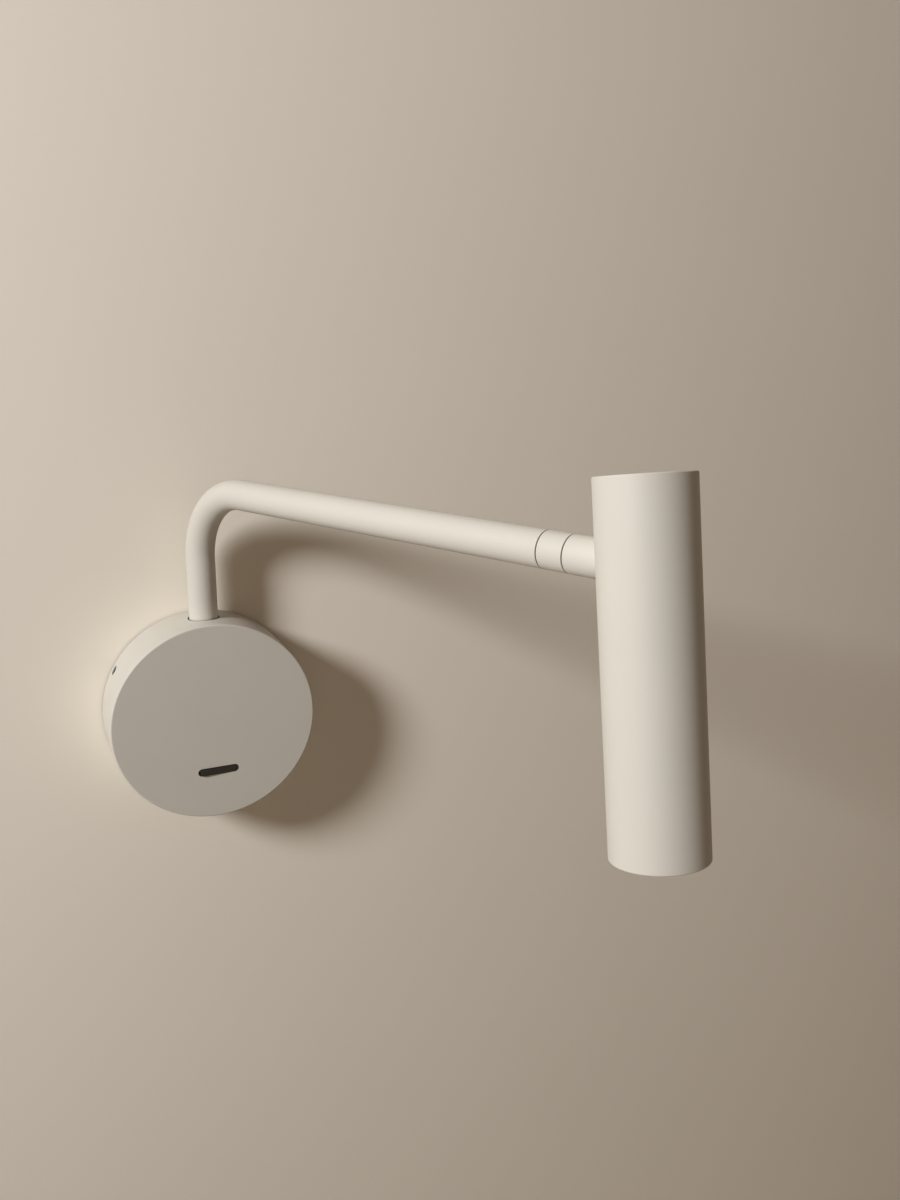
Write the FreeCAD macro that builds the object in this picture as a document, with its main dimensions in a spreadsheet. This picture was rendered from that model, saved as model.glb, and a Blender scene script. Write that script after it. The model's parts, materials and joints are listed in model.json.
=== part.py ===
import FreeCAD, Part
import math
import os
import re
import Sketcher
from FreeCAD import Placement, Rotation, Vector

# Bedside wall reading lamp, in millimetres.  The wall is the plane Y = 0 and the lamp stands out
# towards -Y, with +Z up.  The origin is the centre of the round base, on the wall.
# The arm, the neck and the head are drawn straight in frames of their own and are then placed
# in the pose the lamp is kept in: arm swung out from the wall, head leaning a little outwards.

SIZES = [
    # pan-head screws
    ("pan_crown_share", 0.85, "radius at the top of a head, as a share of the head's radius"),
    ("drive_flats_share", 0.95, "across the drive's flats, as a share of the head's radius"),
    ("drive_share", 0.5, "depth of the drive, as a share of the head's height"),
    # round base
    ("base_radius", 50.0, "outside of the round cover"),
    ("base_depth", 31.5, "front of the cover to the wall"),
    ("shadow_gap", 0.8, "open joint between the cover and the wall"),
    ("rim_wall", 2.0, "cover wall round the rim"),
    ("face_wall", 2.5, "cover wall at the front"),
    ("face_round", 0.8, "rounding of the front edge"),
    ("plate_margin", 4.0, "between the wall plate and the cover's wall"),
    ("plate_thickness", 2.0, ""),
    ("cable_hole_radius", 11.0, "mains cable entry in the wall plate"),
    ("grommet_wall", 2.0, ""),
    ("grommet_lip", 1.2, ""),
    ("fixing_spacing", 60.0, "between the two wall fixing slots"),
    ("fixing_slot_width", 4.6, ""),
    ("fixing_slot_length", 12.0, "end to end"),
    ("ear_angle", 30.0, "first side screw, above the horizontal"),
    ("ear_width", 10.0, ""),
    ("ear_thickness", 2.0, ""),
    ("ear_clearance", 0.5, "between an ear and the rim"),
    ("ear_beyond_screw", 4.0, "ear past the middle of its screw"),
    ("side_screw_height", 5.5, "side screws, from the wall"),
    ("side_screw_radius", 1.5, ""),
    ("side_head_radius", 2.4, ""),
    ("side_head_sink", 0.5, "heads sit this far inside the rim"),
    ("side_head_height", 0.75, ""),
    ("side_drive_share", 0.7, "depth of their drive, as a share of the head's height"),
    # arm, bent from one tube
    ("tube_radius", 7.0, ""),
    ("tube_wall", 1.5, ""),
    ("stub_offset", 14.7, "upright part of the arm, from the wall"),
    ("arm_height", 114.4, "arm axis above the middle of the base"),
    ("bend_radius", 35.0, "on the tube's centre line"),
    ("arm_length", 209.0, "upright axis to the first seam"),
    ("rim_gap", 0.3, "between the tube and the bush in the rim"),
    ("bush_wall", 0.5, ""),
    ("bush_depth", 4.5, ""),
    ("running_gap", 0.05, "radial clearance of a running fit"),
    # bearing of the arm in the base
    ("block_width", 28.0, ""),
    ("block_back", 4.0, "back of the bearing block, from the wall"),
    ("block_drop", 28.0, "bottom of the block, below the top of the rim"),
    ("block_height", 20.0, ""),
    ("ledge_height", 5.0, "below the tube, carries the thrust washer"),
    ("flange_reach", 8.0, "flange past the block on each side"),
    ("flange_height", 12.0, ""),
    ("flange_thickness", 3.0, ""),
    ("flange_hole_out", 4.0, "its holes, from the side of the block"),
    ("boss_height", 4.0, "screw bosses inside the cover"),
    ("boss_radius", 3.0, ""),
    ("block_screw_radius", 1.5, ""),
    ("block_head_radius", 2.8, ""),
    ("block_head_height", 2.0, ""),
    ("thrust_thickness", 1.0, "nylon thrust washer"),
    ("insert_radius", 5.0, "threaded foot of the arm"),
    ("insert_bore", 3.0, "radius of the wire way"),
    ("insert_depth", 13.0, "insert inside the tube"),
    ("insert_tail", 9.5, "insert below the bearing block"),
    ("friction_thickness", 0.8, ""),
    ("friction_radius", 8.2, ""),
    ("stop_plate_gap", 0.5, "between the stop plate's edge and the wall plate"),
    ("stop_plate_thickness", 1.5, ""),
    ("stop_pin_radius", 1.25, ""),
    ("stop_pin_edge", 0.25, "between the pin and the stop plate's edge"),
    ("stop_pin_reach", 1.8, "pin inside the groove"),
    ("stop_groove_gap", 0.4, "round the pin"),
    ("arm_travel_angle", 176.0, "degrees, from one side of the wall to the other"),
    ("arm_least_angle", 2.0, "degrees between the arm and the wall at the right-hand stop"),
    ("spring_radius", 8.8, ""),
    ("spring_thickness", 0.7, ""),
    ("spring_rise", 0.5, ""),
    ("lock_nut_flats", 16.0, ""),
    ("lock_nut_height", 4.5, ""),
    # swivel between the two seams
    ("seam_width", 0.45, "dark friction disc that shows in each seam"),
    ("seam_sink", 0.45, "disc edge below the tube's surface"),
    ("ring_length", 10.9, "seam to seam"),
    ("plug_depth", 15.0, "brass plug inside the arm's end"),
    ("bolt_radius", 4.0, ""),
    ("bolt_bore", 2.2, ""),
    ("bolt_grip", 12.0, "bolt inside the plug"),
    ("bolt_head_radius", 5.2, ""),
    ("bolt_head_height", 2.2, ""),
    ("bolt_socket_flats", 6.4, ""),
    ("neck_flange", 2.2, ""),
    ("neck_wall", 1.4, ""),
    ("neck_spring", 1.0, ""),
    ("neck_length", 12.6, "second seam to the head tube"),
    ("neck_entry", 5.0, "neck inside the head tube"),
    ("neck_chamfer", 0.6, ""),
    ("turn_pin_radius", 0.8, ""),
    ("turn_pin_place", 5.5, "from the arm axis"),
    ("turn_pin_reach", 1.2, ""),
    ("turn_groove_gap", 0.2, "beyond the end of the pin"),
    ("turn_travel_angle", 340.0, "degrees"),
    # tilting knuckle
    ("tongue_thickness", 6.0, ""),
    ("tongue_height", 9.0, ""),
    ("bolt_gap", 0.575, "between the swivel bolt's head and the tongue"),
    ("eye_radius", 5.5, ""),
    ("wire_way", 1.5, "radius of the wire way in the tongue"),
    ("wire_way_end", 8.5, "where it leaves the tongue, from the tilt pin"),
    ("tilt_pin_radius", 2.0, ""),
    ("tilt_washer", 0.4, ""),
    ("tilt_washer_radius", 5.0, ""),
    ("cheek_thickness", 3.0, ""),
    ("cheek_width", 11.0, ""),
    ("cheek_top", 5.5, "above the tilt pin"),
    ("yoke_top", 13.0, "yoke plate, below the tilt pin"),
    ("yoke_plate", 5.0, "thickness"),
    ("tilt_limit", 12.0, "degrees each way from square"),
    ("slot_gap", 0.3, "round the neck in the head's slot"),
    # head
    ("head_radius", 17.0, ""),
    ("head_wall", 1.6, ""),
    ("head_above", 29.95, "head above the arm axis"),
    ("head_below", 96.7, "head below the arm axis"),
    ("head_round", 0.5, "rounding of the tube's ends"),
    ("cap_thickness", 2.5, ""),
    ("slip_gap", 0.1, "between the head tube and what slides into it"),
    ("head_screw_radius", 1.5, ""),
    ("head_screw_head", 2.7, "radius of the countersunk head"),
    ("head_screw_length", 8.0, ""),
    ("head_screw_inset", 0.25, "flat top of the screw inside the tube's surface"),
    ("head_screw_flats", 2.0, ""),
    ("sink_core", 9.0, "radius between the slots"),
    ("sink_slot", 2.2, "width of a slot"),
    ("sink_slot_count", 12.0, "how many"),
    ("sink_bore", 2.5, "radius of the wire way"),
    ("yoke_screw_inset", 4.5, "from the edge of the yoke"),
    ("yoke_screw_radius", 1.25, ""),
    ("yoke_screw_head", 2.2, "radius"),
    ("yoke_screw_head_height", 1.8, ""),
    ("yoke_screw_length", 10.0, "below the yoke's plate"),
    ("board_margin", 2.4, "between the board and the head tube"),
    ("board_thickness", 1.6, ""),
    ("chip_radius", 5.5, ""),
    ("chip_thickness", 0.8, ""),
    ("board_screw_inset", 2.0, "from the edge of the board"),
    ("board_screw_radius", 1.0, ""),
    ("board_screw_head", 1.6, "radius"),
    ("board_screw_head_height", 1.1, ""),
    ("board_tap_depth", 4.0, ""),
    ("reflector_throat", 6.4, "radius"),
    ("reflector_wall", 1.2, ""),
    ("reflector_collar", 1.6, ""),
    ("reflector_length", 16.4, ""),
    ("reflector_margin", 1.7, "round the mouth, out to the edge"),
    ("reflector_rim", 1.5, "thickness of the rim the lens lies on"),
    ("lens_thickness", 2.0, ""),
    ("lens_ring_width", 2.0, ""),
    ("lens_ring_thickness", 2.2, ""),
    ("lens_ring_inset", 0.5, "ring inside the mouth"),
    # switch
    ("switch_drop", 25.5, "below the middle of the base"),
    ("switch_slot_length", 20.2, ""),
    ("switch_slot_width", 4.0, ""),
    ("rocker_end_gap", 0.6, "between the rocker and each end of its slot"),
    ("rocker_side_gap", 0.3, "between the rocker and each side of its slot"),
    ("rocker_proud", 0.6, "in front of the cover"),
    ("rocker_depth", 7.8, "front to back"),
    ("rocker_angle", 3.0, "degrees each way"),
    ("pivot_depth", 5.0, "rocker pivot behind the cover's front"),
    ("pivot_radius", 0.75, ""),
    ("pivot_length", 9.0, ""),
    ("housing_width", 25.0, ""),
    ("housing_height", 12.0, ""),
    ("housing_depth", 14.5, ""),
    ("housing_pocket", 7.0, "depth of the rocker's pocket"),
    ("pocket_gap", 0.5, "between the rocker's slot and the pocket's walls"),
    ("housing_ear_reach", 7.5, "ear past the housing on each side"),
    ("housing_ear_height", 5.0, ""),
    ("housing_ear_thickness", 2.0, ""),
    ("housing_hole_out", 4.5, "ear's hole, from the side of the housing"),
    ("switch_boss_radius", 2.4, ""),
    ("switch_screw_radius", 1.0, ""),
    ("switch_head_radius", 1.9, ""),
    ("switch_head_height", 1.4, ""),
    ("tab_spacing", 8.0, ""),
    ("tab_thickness", 0.8, ""),
    ("tab_width", 4.8, ""),
    ("tab_length", 5.5, ""),
    # electrics in the base
    ("driver_width", 50.0, ""),
    ("driver_height", 22.0, ""),
    ("driver_depth", 17.0, ""),
    ("driver_gap", 3.5, "between the driver and the foot of the arm"),
    ("tape_thickness", 0.6, ""),
    ("tape_margin", 4.0, ""),
    ("terminal_width", 20.0, ""),
    ("terminal_height", 10.0, ""),
    ("terminal_depth", 11.0, ""),
    ("terminal_side_gap", 1.0, "right-hand end, from the side of the bearing block"),
    ("terminal_foot_gap", 0.5, "foot above the top of the driver"),
    ("terminal_pole_count", 3.0, ""),
    ("terminal_screw_radius", 1.6, ""),
    ("terminal_screw_sink", 1.0, ""),
    ("terminal_screw_length", 5.0, ""),
    ("terminal_blade", 0.6, "width of the slot in a screw"),
    ("terminal_blade_depth", 0.8, ""),
    ("terminal_wire_depth", 2.5, "wire holes in the block's two long sides"),
    ("earth_across", 26.0, "earth screw, right of the middle"),
    ("earth_above", 18.0, ""),
    ("earth_radius", 2.0, ""),
    ("earth_head_radius", 3.6, ""),
    ("earth_head_height", 2.6, ""),
    # pose the lamp is kept in, degrees
    ("arm_out_angle", 66.6, "arm swung out from the wall"),
    ("head_turned_angle", -4.6, "head turned about the arm"),
    ("head_tilted_angle", -9.0, "head tilted out of square"),
]

doc = FreeCAD.newDocument("reading_lamp")
sheet = doc.addObject("Spreadsheet::Sheet", "sizes")
for row, (alias, value, meaning) in enumerate(SIZES, start=1):
    sheet.set("A%d" % row, alias)
    sheet.set("B%d" % row, str(value))
    sheet.set("C%d" % row, meaning)
    sheet.setAlias("B%d" % row, alias)
doc.recompute()

ALIASES = {alias for alias, value, meaning in SIZES}
TO_HEAD = ("arm_length", "ring_length", "neck_length", "head_radius")
# sizes that follow from those in the sheet
DERIVED = {
    "plate_radius": "base_radius - rim_wall - plate_margin",
    "block_bottom": "base_radius - block_drop",
    "flange_width": "block_width + 2 * flange_reach",
    "flange_hole_spacing": "block_width + 2 * flange_hole_out",
    "stop_plate_radius": "stub_offset - plate_thickness - stop_plate_gap",
    "stop_pin_place": "stop_plate_radius - stop_pin_radius - stop_pin_edge",
    "head_reach": " + ".join(TO_HEAD),
    "neck_end": "head_radius - neck_entry",
    "sleeve_length": "neck_length + neck_entry - seam_width / 2",
    "tongue_plug": "sleeve_length - neck_flange - neck_spring - bolt_head_height - bolt_gap",
    "lens_top": "lens_thickness + lens_ring_thickness + lens_ring_inset - head_below",
    "board_face": "lens_top + reflector_length",
    "sink_foot": "board_face + board_thickness",
    "sink_length": "-(yoke_top + yoke_plate) - sink_foot",
    "yoke_screw_place": "head_radius - head_wall - slip_gap - yoke_screw_inset",
    "board_radius": "head_radius - head_wall - board_margin",
    "board_screw_place": "board_radius - board_screw_inset",
    "reflector_mouth": "head_radius - head_wall - slip_gap - reflector_margin",
    "lens_ring_bore": "head_radius - head_wall - lens_ring_width",
    "rocker_length": "switch_slot_length - 2 * rocker_end_gap",
    "rocker_width": "switch_slot_width - 2 * rocker_side_gap",
    "housing_ears": "housing_width + 2 * housing_ear_reach",
    "switch_hole_spacing": "housing_width + 2 * housing_hole_out",
    "driver_top": "block_bottom - insert_tail - driver_gap",
    "terminal_left": "block_width / 2 + terminal_side_gap + terminal_width",
    "terminal_foot": "driver_top + terminal_foot_gap",
}
ALONG = {
    "+X": Rotation(Vector(0, 1, 0), 90),
    "-X": Rotation(Vector(0, 1, 0), -90),
    "+Y": Rotation(Vector(1, 0, 0), -90),
    "-Y": Rotation(Vector(1, 0, 0), 90),
    "+Z": Rotation(),
    "-Z": Rotation(Vector(1, 0, 0), 180),
}
pieces = []


def size(alias):
    """The number in the sheet's cell."""
    return float(getattr(sheet, alias))


def formula(text):
    """An expression that reads the sheet, from one in the plain names of sizes."""
    def spelled(match):
        word = match[0]
        if word in DERIVED:
            return "(" + formula(DERIVED[word]) + ")"
        return "sizes." + word if word in ALIASES else word
    return re.sub(r"[a-z_]+", spelled, text)


def bind(item, **formulas):
    """Tie properties of an object to the sheet."""
    for name, text in formulas.items():
        item.setExpression(name, formula(text))
    return item


def at(item, x="0", y="0", z="0", turn=Rotation()):
    """Place an object at formulas of the sheet."""
    item.Placement = Placement(Vector(), turn)
    for axis, text in zip("xyz", (x, y, z)):
        if text != "0":
            item.setExpression("Placement.Base." + axis, formula(text))
    return item


def rod(name, radius, length, x="0", y="0", z="0", along="+Z"):
    item = bind(doc.addObject("Part::Cylinder", name), Radius=radius, Height=length)
    return at(item, x, y, z, ALONG[along])


def cone(name, first, second, length, x="0", y="0", z="0", along="+Z"):
    item = bind(doc.addObject("Part::Cone", name), Radius1=first, Radius2=second, Height=length)
    return at(item, x, y, z, ALONG[along])


def box(name, x, y, z):
    """A box between two formulas each way."""
    item = doc.addObject("Part::Box", name)
    bind(item, Length="%s - (%s)" % (x[1], x[0]), Width="%s - (%s)" % (y[1], y[0]))
    bind(item, Height="%s - (%s)" % (z[1], z[0]))
    return at(item, x[0], y[0], z[0])


def hexagon(name, flats, length, x="0", y="0", z="0", along="+Z"):
    item = bind(doc.addObject("Part::Prism", name), Circumradius="(%s) / sqrt(3)" % flats, Height=length)
    item.Polygon = 6
    return at(item, x, y, z, ALONG[along])


def join(name, *items):
    item = doc.addObject("Part::MultiFuse", name)
    item.Shapes = list(items)
    item.Refine = True
    return item


def cut(name, base, *tools):
    item = doc.addObject("Part::Cut", name)
    item.Base = base
    item.Tool = tools[0] if len(tools) == 1 else join(name + "_cuts", *tools)
    return item


def common(name, base, tool):
    item = doc.addObject("Part::Common", name)
    item.Base = base
    item.Tool = tool
    return item


def group(name, items):
    item = doc.addObject("Part::Compound", name)
    item.Links = list(items)
    return item


def sketch_on(body, plane, name, offset="0"):
    """A sketch on one of the body's own origin planes, moved along the plane's normal."""
    sketch = body.newObject("Sketcher::SketchObject", name)
    face = next(item for item in body.Origin.OriginFeatures if item.Role == plane)
    sketch.AttachmentSupport = [(face, "")]
    sketch.MapMode = "FlatFace"
    sketch.setExpression("AttachmentOffset.Base.z", formula(offset))
    return sketch


GUESS = 10.0  # where a sketch's lines start from, before their dimensions move them


def dimension(sketch, text, kind, *references):
    """A sketch dimension bound to a formula."""
    index = sketch.addConstraint(Sketcher.Constraint(kind, *references))
    sketch.setExpression("Constraints[%d]" % index, formula(text))


def outline(sketch, corners):
    """A closed polygon whose corners are pairs of formulas."""
    count = len(corners)
    start = sketch.GeometryCount
    steps = [2 * math.pi * i / count for i in range(count)]
    points = [Vector(GUESS * math.cos(step), GUESS * math.sin(step), 0) for step in steps]
    for i in range(count):
        sketch.addGeometry(Part.LineSegment(points[i], points[(i + 1) % count]), False)
    for i in range(count):
        sketch.addConstraint(Sketcher.Constraint("Coincident", start + i, 2, start + (i + 1) % count, 1))
    for i, (across, along) in enumerate(corners):
        dimension(sketch, across, "DistanceX", -1, 1, start + i, 1, points[i].x)
        dimension(sketch, along, "DistanceY", -1, 1, start + i, 1, points[i].y)


def circle(sketch, radius, x="0", y="0"):
    start = Part.Circle(Vector(GUESS, GUESS, 0), Vector(0, 0, 1), GUESS)
    index = sketch.addGeometry(start, False)
    dimension(sketch, x, "DistanceX", -1, 1, index, 3, GUESS)
    dimension(sketch, y, "DistanceY", -1, 1, index, 3, GUESS)
    dimension(sketch, radius, "Radius", index, GUESS)


def turned(name, corners, about="Z"):
    """A turned piece: corners are (radius, place) about Z or Y, and (place, radius) about X."""
    body = doc.addObject("PartDesign::Body", name)
    sketch = sketch_on(body, "XY_Plane" if about == "Y" else "XZ_Plane", name + "_profile")
    outline(sketch, corners)
    turn = body.newObject("PartDesign::Revolution", name + "_turned")
    turn.Profile = sketch
    turn.ReferenceAxis = (sketch, ["H_Axis" if about == "X" else "V_Axis"])
    turn.Angle = 360
    return body


def ring(name, inner, outer, low, high, about="Z"):
    """A plain washer or sleeve."""
    if about == "X":
        return turned(name, [(low, inner), (high, inner), (high, outer), (low, outer)], about)
    return turned(name, [(inner, low), (outer, low), (outer, high), (inner, high)], about)


def extruded(name, plane, draw, length, offset="0"):
    """A pad of the outline that draw makes, along the plane's normal."""
    body = doc.addObject("PartDesign::Body", name)
    sketch = sketch_on(body, plane, name + "_outline", offset)
    draw(sketch)
    pad = body.newObject("PartDesign::Pad", name + "_pad")
    pad.Profile = sketch
    bind(pad, Length=length)
    return body


def screw(name, radius, length, head_radius, head_height, x, y, z, along, drive="drive_share"):
    """A pan-head screw: its head's underside is at the place, and the shank points along."""
    shank = rod(name + "_shank", radius, length)
    back = "-(%s)" % head_height
    head = cone(name + "_pan", "(%s) * pan_crown_share" % head_radius, head_radius, head_height, z=back)
    recess = "(%s) * %s" % (head_height, drive)
    socket = hexagon(name + "_socket", "(%s) * drive_flats_share" % head_radius, recess, z=back)
    item = cut(name, join(name + "_blank", shank, head), socket)
    return at(item, x, y, z, ALONG[along])


def rounded_edges(body, name, radius, chosen):
    """A fillet on the edges of the body's tip that chosen accepts."""
    doc.recompute()
    tip = body.Tip
    names = ["Edge%d" % (i + 1) for i, edge in enumerate(tip.Shape.Edges) if chosen(edge)]
    fillet = body.newObject("PartDesign::Fillet", name)
    fillet.Base = (tip, names)
    bind(fillet, Radius=radius)
    return body


def ring_edge(along, place, radius):
    """Accepts the full circle at a place along an axis with a given radius."""
    def chosen(edge):
        if not isinstance(edge.Curve, Part.Circle):
            return False
        near = abs(getattr(edge.Curve.Center, along) - place) < 1e-4
        return near and abs(edge.Curve.Radius - radius) < 1e-4
    return chosen


def keep(label, item, frame=None):
    """Make an object a sub-part of the lamp, in its frame."""
    if frame is not None and any("Placement" in path for path, text in item.ExpressionEngine):
        item.Label = label + "_blank"
        item = group(label + "_placed", [item])
    item.Label = label
    if frame is not None:
        item.Placement = frame
    pieces.append(item)


# ---- frames of the moving bodies --------------------------------------------------------------
# Arm frame: Z is the upright axis and X runs along the arm.  Swivel frame: the same, at the arm's
# height.  Neck frame: turned about the arm.  Head frame: at the tilt pin, Z along the head.
ARM = Placement(Vector(0, -size("stub_offset"), 0), Rotation(Vector(0, 0, 1), -size("arm_out_angle")))
SWIVEL = ARM.multiply(Placement(Vector(0, 0, size("arm_height")), Rotation()))
NECK = SWIVEL.multiply(Placement(Vector(), Rotation(Vector(1, 0, 0), size("head_turned_angle"))))
HEAD_PLACE = Vector(sum(size(part) for part in TO_HEAD), 0, 0)
TILT = Placement(HEAD_PLACE, Rotation(Vector(0, 1, 0), size("head_tilted_angle")))
HEAD = NECK.multiply(TILT)
ROCKER = Placement(
    Vector(0, -(size("base_depth") - size("pivot_depth")), -size("switch_drop")),
    Rotation(Vector(0, 0, 1), size("rocker_angle")),
)

# ---- places that several pieces share ---------------------------------------------------------
FACE_INSIDE = "-(base_depth - face_wall)"
TUBE_FOOT = "block_bottom + ledge_height + thrust_thickness"
TUBE_BORE = "tube_radius - tube_wall"
BORE = "tube_radius + running_gap"
PLATE_UNDER = "block_bottom - friction_thickness - stop_plate_thickness"
RING_START = "arm_length + seam_width / 2"
RING_END = "arm_length + ring_length - seam_width / 2"
NECK_START = "arm_length + ring_length + seam_width / 2"
NECK_END = "head_reach - neck_end"
CAVITY = "tube_radius - neck_wall"
BOLT_HEAD = NECK_START + " + neck_flange + neck_spring"
HEAD_BORE = "head_radius - head_wall"
SLIDING = "head_radius - head_wall - slip_gap"
YOKE_FOOT = "-(yoke_top + yoke_plate)"


# ---- wall plate and what it carries -----------------------------------------------------------
def wall_plate():
    """Round steel plate with two slots for the wall screws and three ears for the side screws."""
    def draw(sketch):
        circle(sketch, "plate_radius")
        circle(sketch, "cable_hole_radius")
    plate = extruded("plate_disc", "XZ_Plane", draw, "plate_thickness")
    ears = []
    ear_out = "base_radius - rim_wall - ear_clearance"
    ear_in = ear_out + " - ear_thickness"
    for number in range(3):
        ear = box(
            "ear_%d" % number,
            (ear_in, ear_out),
            ("-(side_screw_height + ear_beyond_screw)", "0"),
            ("-ear_width / 2", "ear_width / 2"),
        )
        foot = box(
            "ear_foot_%d" % number,
            ("plate_radius - ear_width / 2", ear_out),
            ("-plate_thickness", "0"),
            ("-ear_width / 2", "ear_width / 2"),
        )
        bent = join("ear_bent_%d" % number, ear, foot)
        turn = Rotation(Vector(0, 1, 0), -(size("ear_angle") + 120 * number))
        bent.Placement = Placement(Vector(), turn)
        ears.append(bent)
    tools = []
    for side in (-1, 1):
        middle = "%d * fixing_spacing / 2" % side
        reach = "(fixing_slot_length - fixing_slot_width) / 2"
        for end in (-1, 1):
            place = "%s + (%d) * %s" % (middle, end, reach)
            name = "fixing_end_%d_%d" % (side + 1, end + 1)
            tools.append(rod(name, "fixing_slot_width / 2", "3 * plate_thickness", x=place,
                             y="plate_thickness", along="-Y"))
        tools.append(box(
            "fixing_slot_%d" % (side + 1),
            ("%s - %s" % (middle, reach), "%s + %s" % (middle, reach)),
            ("-2 * plate_thickness", "plate_thickness"),
            ("-fixing_slot_width / 2", "fixing_slot_width / 2"),
        ))
    for number in range(3):
        hole = rod("ear_hole_%d" % number, "side_screw_radius", "base_radius")
        hole.Placement = side_axis(number, 0)
        tools.append(hole)
    tools.append(rod("earth_hole", "earth_radius", "3 * plate_thickness", "earth_across",
                     "plate_thickness", "earth_above", "-Y"))
    keep("wall_plate", cut("wall_plate", join("plate_with_ears", plate, *ears), *tools))


def side_axis(number, distance):
    """Frame on a side screw's axis, Z pointing out through the rim."""
    angle = math.radians(size("ear_angle") + 120 * number)
    out = Vector(math.cos(angle), 0, math.sin(angle))
    start = Vector(0, -size("side_screw_height"), 0) + out * distance
    return Placement(start, Rotation(Vector(0, 0, 1), out))


def cable_grommet():
    """Rubber grommet in the plate's cable entry, with a lip on the inner side."""
    inner = "cable_hole_radius - grommet_wall"
    outer = "cable_hole_radius"
    lip = "cable_hole_radius + grommet_wall"
    keep("cable_grommet", turned("cable_grommet", [
        (inner, "0"),
        (outer, "0"),
        (outer, "-plate_thickness"),
        (lip, "-plate_thickness"),
        (lip, "-(plate_thickness + grommet_lip)"),
        (inner, "-(plate_thickness + grommet_lip)"),
    ], "Y"))


def earth_screw():
    keep("earth_screw", screw(
        "earth_screw", "earth_radius", "plate_thickness", "earth_head_radius", "earth_head_height",
        "earth_across", "-plate_thickness", "earth_above", "+Y"))


def terminal_block():
    """Three-pole terminal block on the plate, and the screws of its poles."""
    low = "terminal_foot"
    back = "-plate_thickness"
    front = "-(plate_thickness + terminal_depth)"
    block = box("terminal_body", ("-terminal_left", "-terminal_left + terminal_width"), (front, back),
                (low, low + " + terminal_height"))
    poles = int(size("terminal_pole_count"))
    tools = []
    screws = []
    for pole in range(poles):
        across = "-terminal_left + terminal_width * %g / terminal_pole_count" % (pole + 0.5)
        middle = low + " + terminal_height / 2"
        well = "terminal_screw_sink + terminal_screw_length"
        tools.append(rod("pole_well_%d" % pole, "terminal_screw_radius", well, across, front, middle,
                         "+Y"))
        shank = rod("pole_pin_%d" % pole, "terminal_screw_radius", "terminal_screw_length")
        blade = box("pole_blade_%d" % pole, ("-terminal_screw_radius", "terminal_screw_radius"),
                    ("-terminal_blade / 2", "terminal_blade / 2"),
                    ("-terminal_blade_depth", "terminal_blade_depth"))
        pin = cut("pole_screw_%d" % pole, shank, blade)
        screws.append(at(pin, across, front + " + terminal_screw_sink", middle, ALONG["+Y"]))
    for side in (-1, 1):
        for pole in range(poles):
            across = "-terminal_left + terminal_width * %g / terminal_pole_count" % (pole + 0.5)
            edge = low if side < 0 else low + " + terminal_height"
            tools.append(rod("wire_way_%d_%d" % (side + 1, pole), "terminal_screw_radius",
                             "terminal_wire_depth", across, "-(plate_thickness + terminal_depth / 3)",
                             edge, "+Z" if side < 0 else "-Z"))
    keep("terminal_block", cut("terminal_block", block, *tools))
    keep("terminal_screws", group("terminal_screws", screws))


# ---- cover of the base ------------------------------------------------------------------------
def base_cover():
    """Deep round cup; the arm leaves through its rim and the switch sits low in its face."""
    inner = "base_radius - rim_wall"
    front = "-base_depth"
    body = turned("cover_cup", [
        ("0", front),
        ("base_radius", front),
        ("base_radius", "-shadow_gap"),
        (inner, "-shadow_gap"),
        (inner, FACE_INSIDE),
        ("0", FACE_INSIDE),
    ], "Y")
    edge = ring_edge("y", -size("base_depth"), size("base_radius"))
    rounded_edges(body, "cover_edge", "face_round", edge)
    bosses = []
    tools = []
    for side in (-1, 1):
        across = "%d * flange_hole_spacing / 2" % side
        height = "block_bottom + block_height / 2"
        bosses.append(rod("block_boss_%d" % (side + 1), "boss_radius", "boss_height", across,
                          FACE_INSIDE, height, "+Y"))
        tools.append(rod("block_tap_%d" % (side + 1), "block_screw_radius", "boss_height", across,
                         FACE_INSIDE, height, "+Y"))
        across = "%d * switch_hole_spacing / 2" % side
        bosses.append(rod("switch_boss_%d" % (side + 1), "switch_boss_radius", "boss_height",
                          across, FACE_INSIDE, "-switch_drop", "+Y"))
        tools.append(rod("switch_tap_%d" % (side + 1), "switch_screw_radius", "boss_height",
                         across, FACE_INSIDE, "-switch_drop", "+Y"))
    tools.append(rod("arm_way", "tube_radius + rim_gap + bush_wall", "base_radius",
                     y="-stub_offset", z="block_bottom + block_height"))
    tools += pill("switch_way", "switch_slot_length", "switch_slot_width", "3 * face_wall",
                  "-(base_depth + face_wall)", "-switch_drop")
    for number in range(3):
        way = rod("side_way_%d" % number, "side_screw_radius", "base_radius")
        way.Placement = side_axis(number, 0)
        tools.append(way)
        sink = rod("side_sink_%d" % number, "side_head_radius", "base_radius")
        seat = size("base_radius") - size("side_head_sink") - size("side_head_height")
        sink.Placement = side_axis(number, seat)
        tools.append(sink)
    keep("base_cover", cut("base_cover", join("cover_with_bosses", body, *bosses), *tools))


def pill(name, length, width, depth, y, z):
    """Solids of a round-ended bar along X, standing from y towards +Y."""
    reach = "(%s - %s) / 2" % (length, width)
    parts = [box(name + "_bar", ("-" + reach, reach), (y, "%s + %s" % (y, depth)),
                 ("%s - %s / 2" % (z, width), "%s + %s / 2" % (z, width)))]
    for side, sign in (("left", "-"), ("right", "")):
        parts.append(rod(name + "_" + side, width + " / 2", depth, sign + reach, y, z, "+Y"))
    return parts


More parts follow.
